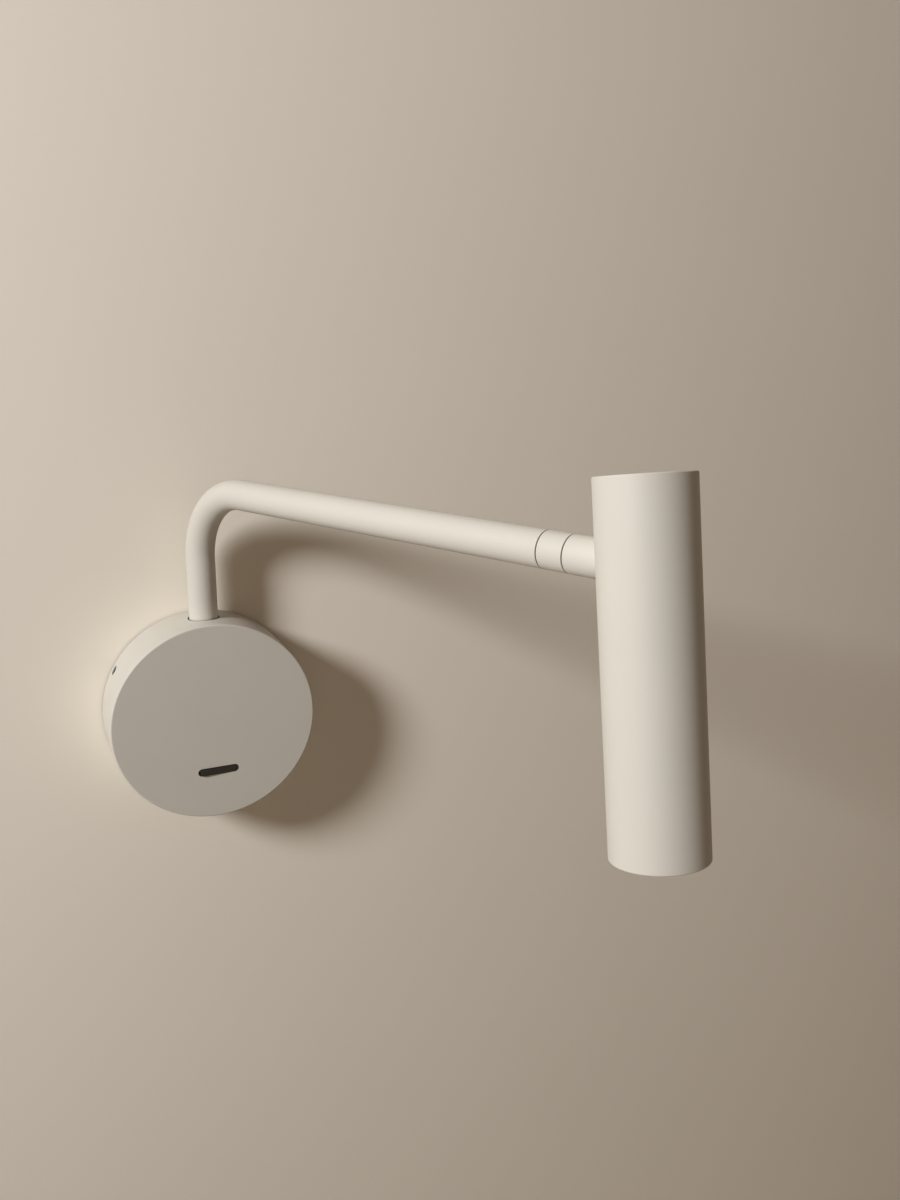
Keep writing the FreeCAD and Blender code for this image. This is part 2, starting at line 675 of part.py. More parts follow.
def cover_side_screws():
    """Three screws through the rim into the plate's ears."""
    screws = []
    for number in range(3):
        item = screw("side_screw_%d" % number, "side_screw_radius",
                     "rim_wall + ear_clearance + ear_thickness", "side_head_radius",
                     "side_head_height", "0", "0", "0", "+Z", "side_drive_share")
        seat = size("base_radius") - size("side_head_sink") - size("side_head_height")
        frame = side_axis(number, seat)
        item.Placement = Placement(frame.Base, frame.Rotation.multiply(ALONG["-Z"]))
        screws.append(item)
    keep("cover_side_screws", group("cover_side_screws", screws))


def rim_bush():
    """Thin black bush round the arm where it leaves the rim, cut flush with the rim."""
    sleeve = ring("bush_sleeve", "tube_radius + rim_gap", "tube_radius + rim_gap + bush_wall",
                  "base_radius - bush_depth", "base_radius + bush_depth")
    at(sleeve, y="-stub_offset")
    flush = rod("bush_flush", "base_radius", "base_depth", along="-Y")
    keep("rim_bush", common("rim_bush", sleeve, flush))


# ---- arm bearing ------------------------------------------------------------------------------
def bearing_block():
    """Cast block behind the cover's face: bore for the arm, ledge, and the stop's groove."""
    half = "block_width / 2"
    top = "block_bottom + block_height"
    middle = "block_bottom + block_height / 2"
    core = box("block_core", ("-" + half, half), (FACE_INSIDE, "-block_back"), ("block_bottom", top))
    seat = FACE_INSIDE + " + boss_height"
    flange = box("block_flange", ("-flange_width / 2", "flange_width / 2"),
                 (seat, seat + " + flange_thickness"),
                 (middle + " - flange_height / 2", middle + " + flange_height / 2"))
    tools = [
        rod("tube_way", BORE, "block_height", y="-stub_offset", z="block_bottom + ledge_height"),
        rod("insert_way", "insert_radius + running_gap", "2 * ledge_height", y="-stub_offset",
            z="block_bottom - ledge_height / 2"),
        stop_groove(),
    ]
    for side in (-1, 1):
        tools.append(rod("flange_way_%d" % (side + 1), "block_screw_radius", "2 * flange_thickness",
                         "%d * flange_hole_spacing / 2" % side,
                         seat + " - flange_thickness / 2", middle, "+Y"))
    keep("arm_bearing_block", cut("arm_bearing_block", join("block_blank", core, flange), *tools))


def stop_groove():
    """Groove that the stop pin runs in; its ends stop the arm near the wall on each side."""
    groove_out = "stop_pin_place + stop_pin_radius + stop_groove_gap"
    groove_in = "stop_pin_place - stop_pin_radius - stop_groove_gap"
    depth = "stop_pin_reach + stop_groove_gap"
    disc = rod("groove_disc", groove_out, depth)
    pin_half_angle = "asin((stop_pin_radius + 2 * running_gap) / stop_pin_place)"
    bind(disc, Angle="arm_travel_angle * 1 deg + 2 * " + pin_half_angle)
    core = rod("groove_core", groove_in, depth)
    groove = cut("stop_groove", disc, core)
    at(groove, y="-stub_offset", z="block_bottom", turn=Rotation(Vector(0, 0, 1), -180))
    start = "(arm_least_angle - 180) * 1 deg - " + pin_half_angle
    groove.setExpression("Placement.Rotation.Angle", formula(start))
    return groove


def block_screws():
    seat = FACE_INSIDE + " + boss_height + flange_thickness"
    keep("bearing_block_screws", group("bearing_block_screws", [
        screw("block_screw_%d" % (side + 1), "block_screw_radius",
              "flange_thickness + boss_height", "block_head_radius", "block_head_height",
              "%d * flange_hole_spacing / 2" % side, seat, "block_bottom + block_height / 2", "-Y")
        for side in (-1, 1)]))


def arm_foot():
    """What ends the arm inside the base, from the thrust washer down to the lock nut."""
    keep("arm_thrust_washer", ring(
        "arm_thrust_washer", "insert_radius + running_gap", "tube_radius",
        "block_bottom + ledge_height", TUBE_FOOT), ARM)
    tail = "block_bottom - insert_tail"
    keep("arm_foot_insert", turned("arm_foot_insert", [
        ("insert_bore", tail),
        ("insert_radius", tail),
        ("insert_radius", TUBE_FOOT),
        (TUBE_BORE, TUBE_FOOT),
        (TUBE_BORE, TUBE_FOOT + " + insert_depth"),
        ("insert_bore", TUBE_FOOT + " + insert_depth"),
    ]), ARM)
    keep("arm_friction_washer", ring(
        "arm_friction_washer", "insert_radius + running_gap", "friction_radius",
        "block_bottom - friction_thickness", "block_bottom"), ARM)
    plate = ring("stop_disc", "insert_radius", "stop_plate_radius", PLATE_UNDER,
                 "block_bottom - friction_thickness")
    pin_hole = rod("stop_pin_hole", "stop_pin_radius", "2 * stop_plate_thickness", "stop_pin_place",
                   z=PLATE_UNDER + " - stop_plate_thickness / 2")
    keep("arm_stop_plate", cut("arm_stop_plate", plate, pin_hole), ARM)
    keep("arm_stop_pin", rod(
        "arm_stop_pin", "stop_pin_radius",
        "stop_plate_thickness + friction_thickness + stop_pin_reach", "stop_pin_place",
        z=PLATE_UNDER), ARM)
    spring_foot = PLATE_UNDER + " - spring_rise - spring_thickness"
    keep("arm_spring_washer", turned("arm_spring_washer", [
        ("insert_radius + running_gap", spring_foot),
        ("spring_radius", spring_foot + " + spring_rise"),
        ("spring_radius", PLATE_UNDER),
        ("insert_radius + running_gap", spring_foot + " + spring_thickness"),
    ]), ARM)
    nut = hexagon("lock_nut_blank", "lock_nut_flats", "lock_nut_height",
                  z=spring_foot + " - lock_nut_height")
    thread = rod("lock_nut_thread", "insert_radius", "2 * lock_nut_height",
                 z=spring_foot + " - 1.5 * lock_nut_height")
    keep("arm_lock_nut", cut("arm_lock_nut", nut, thread), ARM)


# ---- arm and swivel ---------------------------------------------------------------------------
def arm_tube():
    """One tube: upright part, bend, and the long arm as far as the first seam."""
    # the route is first drawn about right, and its dimensions then set it
    body = doc.addObject("PartDesign::Body", "arm_tube")
    path = sketch_on(body, "XZ_Plane", "arm_route")
    height = size("arm_height")
    foot = height / 4
    bend = size("bend_radius")
    reach = size("arm_length") - size("seam_width") / 2
    corner = Part.Circle(Vector(bend, height - bend, 0), Vector(0, 0, 1), bend)
    upright = path.addGeometry(Part.LineSegment(Vector(0, foot, 0), Vector(0, height - bend, 0)), False)
    elbow = path.addGeometry(Part.ArcOfCircle(corner, math.pi / 2, math.pi), False)
    level = path.addGeometry(Part.LineSegment(Vector(bend, height, 0), Vector(reach, height, 0)), False)
    path.addConstraint(Sketcher.Constraint("Tangent", upright, 2, elbow, 2))
    path.addConstraint(Sketcher.Constraint("Tangent", elbow, 1, level, 1))
    path.addConstraint(Sketcher.Constraint("Vertical", upright))
    path.addConstraint(Sketcher.Constraint("Horizontal", level))
    dimension(path, "0", "DistanceX", -1, 1, upright, 1, 0.0)
    dimension(path, TUBE_FOOT, "DistanceY", -1, 1, upright, 1, foot)
    dimension(path, "bend_radius", "Radius", elbow, bend)
    dimension(path, "arm_height", "DistanceY", -1, 1, level, 1, height)
    dimension(path, "arm_length - seam_width / 2", "DistanceX", -1, 1, level, 2, reach)
    section = sketch_on(body, "XY_Plane", "arm_section", TUBE_FOOT)
    circle(section, "tube_radius")
    circle(section, TUBE_BORE)
    pipe = body.newObject("PartDesign::AdditivePipe", "arm_pipe")
    pipe.Profile = section
    pipe.Spine = (path, ["Edge1", "Edge2", "Edge3"])
    keep("arm_tube", body, ARM)


def swivel():
    """Plug, ring, discs and the hollow bolt that hold the neck to the arm and let it turn."""
    keep("arm_end_plug", ring("arm_end_plug", "bolt_radius", TUBE_BORE,
                              "arm_length - seam_width / 2 - plug_depth",
                              "arm_length - seam_width / 2", "X"), SWIVEL)
    disc_edge = "tube_radius - seam_sink"
    keep("seam_gasket", ring("seam_gasket", "bolt_radius + running_gap", disc_edge,
                             "arm_length - seam_width / 2", RING_START, "X"), SWIVEL)
    collar = ring("collar_blank", "bolt_radius + running_gap", "tube_radius", RING_START, RING_END, "X")
    pin_seat = rod("turn_pin_seat", "turn_pin_radius", "2 * turn_pin_reach", RING_END
                   + " - turn_pin_reach", z="turn_pin_place", along="+X")
    keep("swivel_ring", cut("swivel_ring", collar, pin_seat), SWIVEL)
    disc = ring("disc_blank", "bolt_radius + running_gap", disc_edge, RING_END, NECK_START, "X")
    pin_way = rod("turn_pin_way", "turn_pin_radius", "4 * seam_width", RING_END + " - seam_width",
                  z="turn_pin_place", along="+X")
    keep("swivel_friction_disc", cut("swivel_friction_disc", disc, pin_way), SWIVEL)
    keep("swivel_stop_pin", rod("swivel_stop_pin", "turn_pin_radius",
                                "2 * turn_pin_reach + seam_width", RING_END + " - turn_pin_reach",
                                z="turn_pin_place", along="+X"), SWIVEL)
    bolt = turned("bolt_blank", [
        ("arm_length - bolt_grip", "bolt_bore"),
        (BOLT_HEAD + " + bolt_head_height", "bolt_bore"),
        (BOLT_HEAD + " + bolt_head_height", "bolt_head_radius"),
        (BOLT_HEAD, "bolt_head_radius"),
        (BOLT_HEAD, "bolt_radius"),
        ("arm_length - bolt_grip", "bolt_radius"),
    ], "X")
    socket = hexagon("bolt_socket", "bolt_socket_flats", "bolt_head_height",
                     BOLT_HEAD + " + bolt_head_height / 2", along="+X")
    keep("swivel_bolt", cut("swivel_bolt", bolt, socket), SWIVEL)
    keep("swivel_spring_washer", ring(
        "swivel_spring_washer", "bolt_radius + running_gap", "bolt_head_radius",
        NECK_START + " + neck_flange", BOLT_HEAD, "X"), SWIVEL)


def neck():
    """Sleeve that carries on the arm's line into the head, and the tongue in its end."""
    flange_end = NECK_START + " + neck_flange"
    sleeve = turned("sleeve_blank", [
        (NECK_START, "bolt_radius + running_gap"),
        (flange_end, "bolt_radius + running_gap"),
        (flange_end, CAVITY),
        (NECK_END, CAVITY),
        (NECK_END, "tube_radius - neck_chamfer"),
        (NECK_END + " - neck_chamfer", "tube_radius"),
        (NECK_START, "tube_radius"),
    ], "X")
    groove_out = "turn_pin_place + turn_pin_radius + running_gap"
    groove_in = "turn_pin_place - turn_pin_radius - running_gap"
    depth = "turn_pin_reach + turn_groove_gap"
    disc = rod("turn_groove_disc", groove_out, depth)
    play = "(turn_pin_radius + 2 * running_gap) / turn_pin_place"
    bind(disc, Angle="turn_travel_angle * 1 deg + 2 * asin(%s)" % play)
    groove = cut("turn_groove", disc, rod("turn_groove_core", groove_in, depth))
    pin_half = size("turn_pin_radius") + 2 * size("running_gap")
    pin_angle = math.degrees(math.asin(pin_half / size("turn_pin_place")))
    neck_start = size("arm_length") + size("ring_length") + size("seam_width") / 2
    upright = Rotation(Vector(0, 1, 0), 90)
    begin = Rotation(Vector(0, 0, 1), 180 - size("turn_travel_angle") / 2 - pin_angle)
    groove.Placement = Placement(Vector(neck_start, 0, 0), upright.multiply(begin))
    keep("neck_sleeve", cut("neck_sleeve", sleeve, groove), NECK)

    plug = rod("tongue_root", CAVITY, "tongue_plug", NECK_END + " - tongue_plug", along="+X")
    bar = box("tongue_bar", (NECK_END, "head_reach"), ("-tongue_thickness / 2", "tongue_thickness / 2"),
              ("-tongue_height / 2", "tongue_height / 2"))
    eye = rod("tongue_eye", "eye_radius", "tongue_thickness", "head_reach", "tongue_thickness / 2",
              along="-Y")
    tools = [
        rod("eye_hole", "tilt_pin_radius + running_gap", "2 * tongue_thickness", "head_reach",
            "tongue_thickness", along="-Y"),
        rod("tongue_wire_way", "wire_way", "neck_end + tongue_plug - wire_way_end",
            NECK_END + " - tongue_plug", along="+X"),
        rod("tongue_wire_exit", "wire_way", "tongue_height", "head_reach - wire_way_end"),
    ]
    keep("neck_tongue", cut("neck_tongue", join("tongue_blank", plug, bar, eye), *tools), NECK)


# ---- head -------------------------------------------------------------------------------------
def head_shell():
    """Straight tube with a round-ended slot at the back for the neck, and a countersunk hole."""
    shell = turned("shell_tube", [
        (HEAD_BORE, "-head_below"),
        ("head_radius", "-head_below"),
        ("head_radius", "head_above"),
        (HEAD_BORE, "head_above"),
    ])
    top = ring_edge("z", size("head_above"), size("head_radius"))
    mouth = ring_edge("z", -size("head_below"), size("head_radius"))
    rounded_edges(shell, "shell_ends", "head_round", lambda edge: top(edge) or mouth(edge))
    half = "tube_radius + slot_gap"
    swing = "head_radius * tan(tilt_limit) + tube_radius / cos(tilt_limit) - tube_radius"
    tools = [box("neck_slot_bar", ("-(head_radius + head_wall)", "-head_radius / 2"),
                 ("-(%s)" % half, half), ("-(%s)" % swing, swing))]
    for end, height in (("low", "-(%s)" % swing), ("high", swing)):
        tools.append(rod("neck_slot_" + end, half, "head_radius / 2 + head_wall",
                         "-(head_radius + head_wall)", z=height, along="+X"))
    sink = turned("head_screw_sink", [
        ("-(head_radius + head_wall)", "0"),
        ("-(head_radius + head_wall)", "head_screw_head"),
        ("-head_radius", "head_screw_head"),
        ("-head_radius + head_screw_head - head_screw_radius", "head_screw_radius"),
        ("-(head_radius - 2 * head_wall)", "head_screw_radius"),
        ("-(head_radius - 2 * head_wall)", "0"),
    ], "X")
    at(sink, z="-(yoke_top + yoke_plate / 2)")
    keep("head_shell", cut("head_shell", shell, *tools, sink), HEAD)
    keep("head_end_cap", rod("head_end_cap", HEAD_BORE, "cap_thickness",
                             z="head_above - cap_thickness"), HEAD)


def head_screw():
    """Countersunk screw that holds the head tube to the yoke."""
    top = "-head_radius + head_screw_inset"
    neck = "-head_radius + head_screw_head - head_screw_radius"
    end = "-head_radius + head_screw_length"
    blank = turned("head_screw_blank", [
        (top, "0"),
        (top, "head_screw_head - head_screw_inset"),
        (neck, "head_screw_radius"),
        (end, "head_screw_radius"),
        (end, "0"),
    ], "X")
    socket = hexagon("head_screw_socket", "head_screw_flats", "head_wall", "-head_radius", along="+X")
    item = cut("head_fixing_screw", blank, socket)
    keep("head_fixing_screw", at(item, z="-(yoke_top + yoke_plate / 2)"), HEAD)


def tilt_knuckle():
    """Yoke inside the head, the tilt pin and its two friction washers."""
    plate = rod("yoke_disc", SLIDING, "yoke_plate", z=YOKE_FOOT)
    inner = "tongue_thickness / 2 + tilt_washer"
    outer = inner + " + cheek_thickness"
    cheeks = []
    washers = []
    for name, low, high in (("left", "-(%s)" % outer, "-(%s)" % inner), ("right", inner, outer)):
        cheeks.append(box("cheek_" + name, ("-cheek_width / 2", "cheek_width / 2"), (low, high),
                          ("-yoke_top", "0")))
        cheeks.append(rod("cheek_end_" + name, "cheek_top", "cheek_thickness", y=low, along="+Y"))
        face = "-(%s)" % inner if name == "left" else "tongue_thickness / 2"
        disc = rod("tilt_washer_disc_" + name, "tilt_washer_radius", "tilt_washer", y=face, along="+Y")
        hole = rod("tilt_washer_hole_" + name, "tilt_pin_radius", "3 * tilt_washer",
                   y=face + " - tilt_washer", along="+Y")
        washers.append(cut("tilt_washer_" + name, disc, hole))
    tools = [
        rod("yoke_pin_way", "tilt_pin_radius", "2 * head_radius", y="-head_radius", along="+Y"),
        rod("yoke_wire_way", "sink_bore", "2 * yoke_plate", z=YOKE_FOOT + " - yoke_plate / 2"),
        rod("yoke_tap", "head_screw_radius", "head_screw_length + head_wall",
            "-(head_radius + head_wall)", z="-(yoke_top + yoke_plate / 2)", along="+X"),
    ]
    for side in (-1, 1):
        tools.append(rod("yoke_screw_way_%d" % (side + 1), "yoke_screw_radius", "2 * yoke_plate",
                         y="%d * yoke_screw_place" % side, z=YOKE_FOOT + " - yoke_plate / 2"))
    keep("tilt_yoke", cut("tilt_yoke", join("yoke_blank", plate, *cheeks), *tools), HEAD)
    keep("tilt_pin", rod("tilt_pin", "tilt_pin_radius", "2 * (%s)" % outer, y="-(%s)" % outer,
                         along="+Y"), HEAD)
    keep("tilt_friction_washers", group("tilt_friction_washers", washers), HEAD)
    keep("yoke_screws", group("yoke_screws", [
        screw("yoke_screw_%d" % (side + 1), "yoke_screw_radius", "yoke_screw_length + yoke_plate",
              "yoke_screw_head", "yoke_screw_head_height", "0", "%d * yoke_screw_place" % side,
              "-yoke_top", "-Z")
        for side in (-1, 1)]), HEAD)


def heat_sink():
    """Finned aluminium rod that fills the middle of the head."""
    def draw(sketch):
        circle(sketch, SLIDING)
        circle(sketch, "sink_bore")
    body = extruded("sink_body", "XY_Plane", draw, "sink_length", "sink_foot")
    doc.recompute()
    solid_before = body.Shape.Volume
    sketch = sketch_on(body, "XY_Plane", "sink_slot_outline", "sink_foot")
    half_step = 180 / size("sink_slot_count")
    sketch.AttachmentOffset = Placement(sketch.AttachmentOffset.Base,
                                        Rotation(Vector(0, 0, 1), half_step))
    outline(sketch, [
        ("sink_core", "-sink_slot / 2"),
        ("head_radius", "-sink_slot / 2"),
        ("head_radius", "sink_slot / 2"),
        ("sink_core", "sink_slot / 2"),
    ])
    slot = body.newObject("PartDesign::Pocket", "sink_slot_cut")
    slot.Profile = sketch
    slot.Reversed = True
    bind(slot, Length="sink_length")
    doc.recompute()
    if not body.Shape.Volume < solid_before:
        raise RuntimeError("the heat sink's slot cuts nothing")
    around = body.newObject("PartDesign::PolarPattern", "sink_slots_round")
    around.Originals = [slot]
    around.Axis = (sketch, ["N_Axis"])
    around.Angle = 360
    bind(around, Occurrences="sink_slot_count")
    body.Tip = around
    taps = []
    for side in (-1, 1):
        taps.append(rod("sink_tap_%d" % (side + 1), "yoke_screw_radius", "yoke_screw_length",
                        y="%d * yoke_screw_place" % side, z=YOKE_FOOT, along="-Z"))
        taps.append(rod("board_tap_%d" % (side + 1), "board_screw_radius",
                        "board_tap_depth", y="%d * board_screw_place" % side, z="sink_foot"))
    keep("heat_sink", cut("heat_sink", body, *taps), HEAD)


def light_source():
    """Board, light chip, reflector, lens and the ring that holds the lens in the mouth."""
    board = rod("board_disc", "board_radius", "board_thickness", z="board_face")
    holes = [rod("board_hole_%d" % (side + 1), "board_screw_radius", "3 * board_thickness",
                 y="%d * board_screw_place" % side, z="board_face - board_thickness")
             for side in (-1, 1)]
    keep("led_board", cut("led_board", board, *holes), HEAD)
    chip = rod("led_chip", "chip_radius", "chip_thickness", z="board_face - chip_thickness")
    keep("led_chip", chip, HEAD)
    keep("board_screws", group("board_screws", [
        screw("board_screw_%d" % (side + 1), "board_screw_radius", "board_thickness + board_tap_depth",
              "board_screw_head", "board_screw_head_height", "0", "%d * board_screw_place" % side,
              "board_face", "+Z")
        for side in (-1, 1)]), HEAD)
    throat = "reflector_throat + reflector_wall"
    rim = "lens_top + reflector_rim"
    keep("reflector", turned("reflector", [
        ("reflector_throat", "board_face"),
        (throat, "board_face"),
        (throat, "board_face - reflector_collar"),
        ("reflector_mouth + reflector_wall / 2", rim),
        (SLIDING, rim),
        (SLIDING, "lens_top"),
        ("reflector_mouth", "lens_top"),
    ]), HEAD)
    keep("lens", rod("lens", SLIDING, "lens_thickness", z="lens_top - lens_thickness"), HEAD)
    keep("lens_ring", ring("lens_ring", "lens_ring_bore", HEAD_BORE, "-head_below + lens_ring_inset",
                           "lens_top - lens_thickness"), HEAD)


# ---- switch and driver ------------------------------------------------------------------------
def switch():
    """Slim rocker in the cover's slot, its housing, pivot, tabs and screws."""
    depth = "base_depth - pivot_depth"
    housing_back = FACE_INSIDE + " + housing_depth"
    half = "housing_height / 2"
    core = box("housing_core", ("-housing_width / 2", "housing_width / 2"),
               (FACE_INSIDE, housing_back), ("-switch_drop - " + half, "-switch_drop + " + half))
    seat = FACE_INSIDE + " + boss_height"
    ears = box("housing_ear_bar", ("-housing_ears / 2", "housing_ears / 2"),
               (seat, seat + " + housing_ear_thickness"),
               ("-switch_drop - housing_ear_height / 2", "-switch_drop + housing_ear_height / 2"))
    pocket = "switch_slot_length / 2 + pocket_gap"
    pocket_half = "switch_slot_width / 2 + pocket_gap / 2"
    tools = [
        box("rocker_pocket", ("-(%s)" % pocket, pocket),
            (FACE_INSIDE, FACE_INSIDE + " + housing_pocket"),
            ("-switch_drop - (%s)" % pocket_half, "-switch_drop + " + pocket_half)),
        rod("pivot_way", "pivot_radius", "pivot_length", y="-(%s)" % depth,
            z="-switch_drop - pivot_length / 2"),
    ]
    for side in (-1, 1):
        tools.append(rod("ear_way_%d" % (side + 1), "switch_screw_radius",
                         "2 * housing_ear_thickness", "%d * switch_hole_spacing / 2" % side,
                         seat + " - housing_ear_thickness / 2", "-switch_drop", "+Y"))
    keep("switch_housing", cut("switch_housing", join("housing_blank", core, ears), *tools))
    keep("switch_pivot_pin", rod("switch_pivot_pin", "pivot_radius", "pivot_length",
                                 y="-(%s)" % depth, z="-switch_drop - pivot_length / 2"))
    keep("switch_screws", group("switch_screws", [
        screw("switch_screw_%d" % (side + 1), "switch_screw_radius",
              "housing_ear_thickness + boss_height", "switch_head_radius", "switch_head_height",
              "%d * switch_hole_spacing / 2" % side, seat + " + housing_ear_thickness",
              "-switch_drop", "-Y")
        for side in (-1, 1)]))
    keep("switch_tabs", group("switch_tabs", [
        box("switch_tab_%d" % (side + 1),
            ("%d * tab_spacing / 2 - tab_thickness / 2" % side,
             "%d * tab_spacing / 2 + tab_thickness / 2" % side),
            (housing_back, housing_back + " + tab_length"),
            ("-switch_drop - tab_width / 2", "-switch_drop + tab_width / 2"))
        for side in (-1, 1)]))
    front = "-(pivot_depth + rocker_proud)"
    solids = pill("rocker", "rocker_length", "rocker_width", "rocker_depth", front, "0")
    bar = join("rocker_bar", *solids)
    hole = rod("rocker_hole", "pivot_radius + running_gap", "2 * rocker_width", z="-rocker_width")
    keep("switch_rocker", cut("switch_rocker", bar, hole), ROCKER)


def driver():
    """Constant-current driver, stuck to the inside of the cover's face with foam tape."""
    half_width = "driver_width / 2"
    low = "driver_top - driver_height"
    high = "driver_top"
    keep("driver_tape", box(
        "driver_tape", ("-(%s - tape_margin)" % half_width, half_width + " - tape_margin"),
        (FACE_INSIDE, FACE_INSIDE + " + tape_thickness"),
        (low + " + tape_margin", high + " - tape_margin")))

    def draw(sketch):
        left = "-" + half_width
        outline(sketch, [(left, low), (half_width, low), (half_width, high), (left, high)])
    body = extruded("led_driver", "XZ_Plane", draw, "driver_depth",
                    "base_depth - face_wall - tape_thickness - driver_depth")
    keep("led_driver", body)


for make in (wall_plate, cable_grommet, earth_screw, terminal_block, base_cover, cover_side_screws,
             rim_bush, bearing_block, block_screws, arm_foot, arm_tube, swivel, neck, head_shell,
             head_screw, tilt_knuckle, heat_sink, light_source, switch, driver):
    make()
doc.recompute()

for item in doc.Objects:
    if "Invalid" in item.State or "Error" in item.State:
        raise RuntimeError("%s failed: %s" % (item.Name, item.State))
for piece in pieces:
    if piece.Shape.isNull() or not piece.Shape.isValid() or not piece.Shape.Solids:
        raise RuntimeError("%s has no valid solid" % piece.Label)

os.makedirs("parts", exist_ok=True)
for piece in pieces:
    piece.Shape.exportStep("parts/%s.step" % piece.Label)
print("%d sub-parts written" % len(pieces))
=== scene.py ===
import json
import math
from functools import cache

import bmesh
import bpy
from mathutils import Matrix, Vector


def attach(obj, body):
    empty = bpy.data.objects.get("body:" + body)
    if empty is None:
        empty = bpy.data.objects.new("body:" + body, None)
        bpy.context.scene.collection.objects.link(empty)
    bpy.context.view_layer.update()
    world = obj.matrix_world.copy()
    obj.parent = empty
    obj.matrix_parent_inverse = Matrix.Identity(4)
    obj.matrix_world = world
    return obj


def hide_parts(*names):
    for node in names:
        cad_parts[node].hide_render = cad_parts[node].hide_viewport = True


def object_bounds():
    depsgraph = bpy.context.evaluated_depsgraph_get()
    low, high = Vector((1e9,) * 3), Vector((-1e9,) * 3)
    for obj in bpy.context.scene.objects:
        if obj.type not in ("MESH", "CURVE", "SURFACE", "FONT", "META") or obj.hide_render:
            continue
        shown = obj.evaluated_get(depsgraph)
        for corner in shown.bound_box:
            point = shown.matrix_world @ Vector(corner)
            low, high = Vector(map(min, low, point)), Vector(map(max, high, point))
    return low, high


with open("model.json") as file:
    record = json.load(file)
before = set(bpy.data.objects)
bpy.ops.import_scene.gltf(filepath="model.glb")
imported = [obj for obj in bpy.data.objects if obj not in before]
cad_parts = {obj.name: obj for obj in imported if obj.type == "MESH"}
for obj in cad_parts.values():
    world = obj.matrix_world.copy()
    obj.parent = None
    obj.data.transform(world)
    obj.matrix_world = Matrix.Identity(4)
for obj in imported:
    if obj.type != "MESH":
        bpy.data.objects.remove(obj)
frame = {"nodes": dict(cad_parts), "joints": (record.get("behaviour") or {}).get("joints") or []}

bl_info = {
    "name": "Bedside reading lamp",
    "version": (1, 0, 0),
    "blender": (4, 5, 0),
    "location": "View3D > Sidebar > Reading lamp",
    "description": "Builds the coated shells, the fittings and the finishes of a wall reading lamp",
    "category": "Object",
}

CAD_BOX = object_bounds()
MM = 0.001
NODES = frame["nodes"]
JOINTS = {joint["name"]: joint for joint in frame["joints"]}


# ---- frames of the moving bodies, read from the joints ------------------------------------------
def axes(x, y, z, origin):
    """Matrix of a frame with these axes and origin."""
    return Matrix.Translation(origin) @ Matrix((x, y, z)).transposed().to_4x4()


def middle(joint):
    """Middle of a joint's range, in radians from the rest pose."""
    return math.radians(sum(JOINTS[joint]["range_deg"]) / 2)


UP = Vector((0, 0, 1))
RIGHT = Vector((1, 0, 0))
OUT = Vector((0, -1, 0))
CENTRE = Vector((0, 0, 0))
PIVOT = Vector(JOINTS["arm_swing"]["pos_m"])
KNUCKLE = Vector(JOINTS["head_tilt"]["pos_m"])
SWITCH_PIVOT = Vector(JOINTS["switch_rock"]["pos_m"])
ALONG = Vector(JOINTS["head_turn"]["axis"]).normalized()
TILT_AXIS = Vector(JOINTS["head_tilt"]["axis"]).normalized()
ELBOW = Vector((PIVOT.x, PIVOT.y, JOINTS["head_turn"]["pos_m"][2]))
SIDE = UP.cross(ALONG)
NECK_UP = ALONG.cross(TILT_AXIS)
LEAN = Matrix.Rotation(-middle("head_tilt"), 3, TILT_AXIS)
ROCK = Matrix.Rotation(-middle("switch_rock"), 3, UP)
HEAD_UP = LEAN @ NECK_UP
HEAD_OUT = LEAN @ ALONG

# Base frame: X right, Y up, Z out of the wall.  Stub frame: Z up the arm's upright part.
# Arm frame: the same, with X along the arm.  Line and neck frames: Z along the arm, from the
# upright axis and from the tilt pin.  Head frame: Z up along the head, X away from the wall.
BASE = axes(RIGHT, UP, OUT, CENTRE)
STUB = Matrix.Translation((PIVOT.x, PIVOT.y, 0))
ARM = axes(ALONG, SIDE, UP, Vector((PIVOT.x, PIVOT.y, 0)))
LINE = axes(SIDE, UP, ALONG, ELBOW)
NECK = axes(TILT_AXIS, NECK_UP, ALONG, KNUCKLE)
HEAD = axes(HEAD_OUT, TILT_AXIS, HEAD_UP, KNUCKLE)
ROCKER = axes(ROCK @ RIGHT, UP, ROCK @ OUT, SWITCH_PIVOT)


def span(name, direction, start):
    """First and last place of a CAD node along a direction."""
    places = [(point.co - start).dot(direction) for point in NODES[name].data.vertices]
    return min(places), max(places)


def reach(name, axis, start):
    """Greatest distance of a CAD node from an axis."""
    return max((point.co - start).cross(axis).length for point in NODES[name].data.vertices)


# ---- sizes of the real pieces, read from the frame ----------------------------------------------
COVER_RADIUS = reach("base_cover", OUT, CENTRE)
COVER_BACK, COVER_FRONT = span("base_cover", OUT, CENTRE)
BUSH_RADIUS = reach("rim_bush", UP, PIVOT)
BUSH_FOOT = span("rim_bush", UP, CENTRE)[0]
TUBE_FOOT = span("arm_tube", UP, CENTRE)[0]
TUBE_END = span("arm_tube", ALONG, ELBOW)[1]
TUBE_RADIUS = reach("swivel_ring", ALONG, ELBOW)
RING_START, RING_END = span("swivel_ring", ALONG, ELBOW)
SLEEVE_START, SLEEVE_END = span("neck_sleeve", ALONG, KNUCKLE)
SEAM_RADIUS = reach("seam_gasket", ALONG, ELBOW)
TONGUE_START, TONGUE_END = span("neck_tongue", ALONG, KNUCKLE)
HEAD_FOOT, HEAD_TOP = span("head_shell", HEAD_UP, KNUCKLE)
HEAD_RADIUS = reach("head_shell", HEAD_UP, KNUCKLE)
CAP_FOOT = span("head_end_cap", HEAD_UP, KNUCKLE)[0]
CAP_RADIUS = reach("head_end_cap", HEAD_UP, KNUCKLE)
TRIM_FOOT, TRIM_TOP = span("lens_ring", HEAD_UP, KNUCKLE)
LENS_FOOT, LENS_TOP = span("lens", HEAD_UP, KNUCKLE)
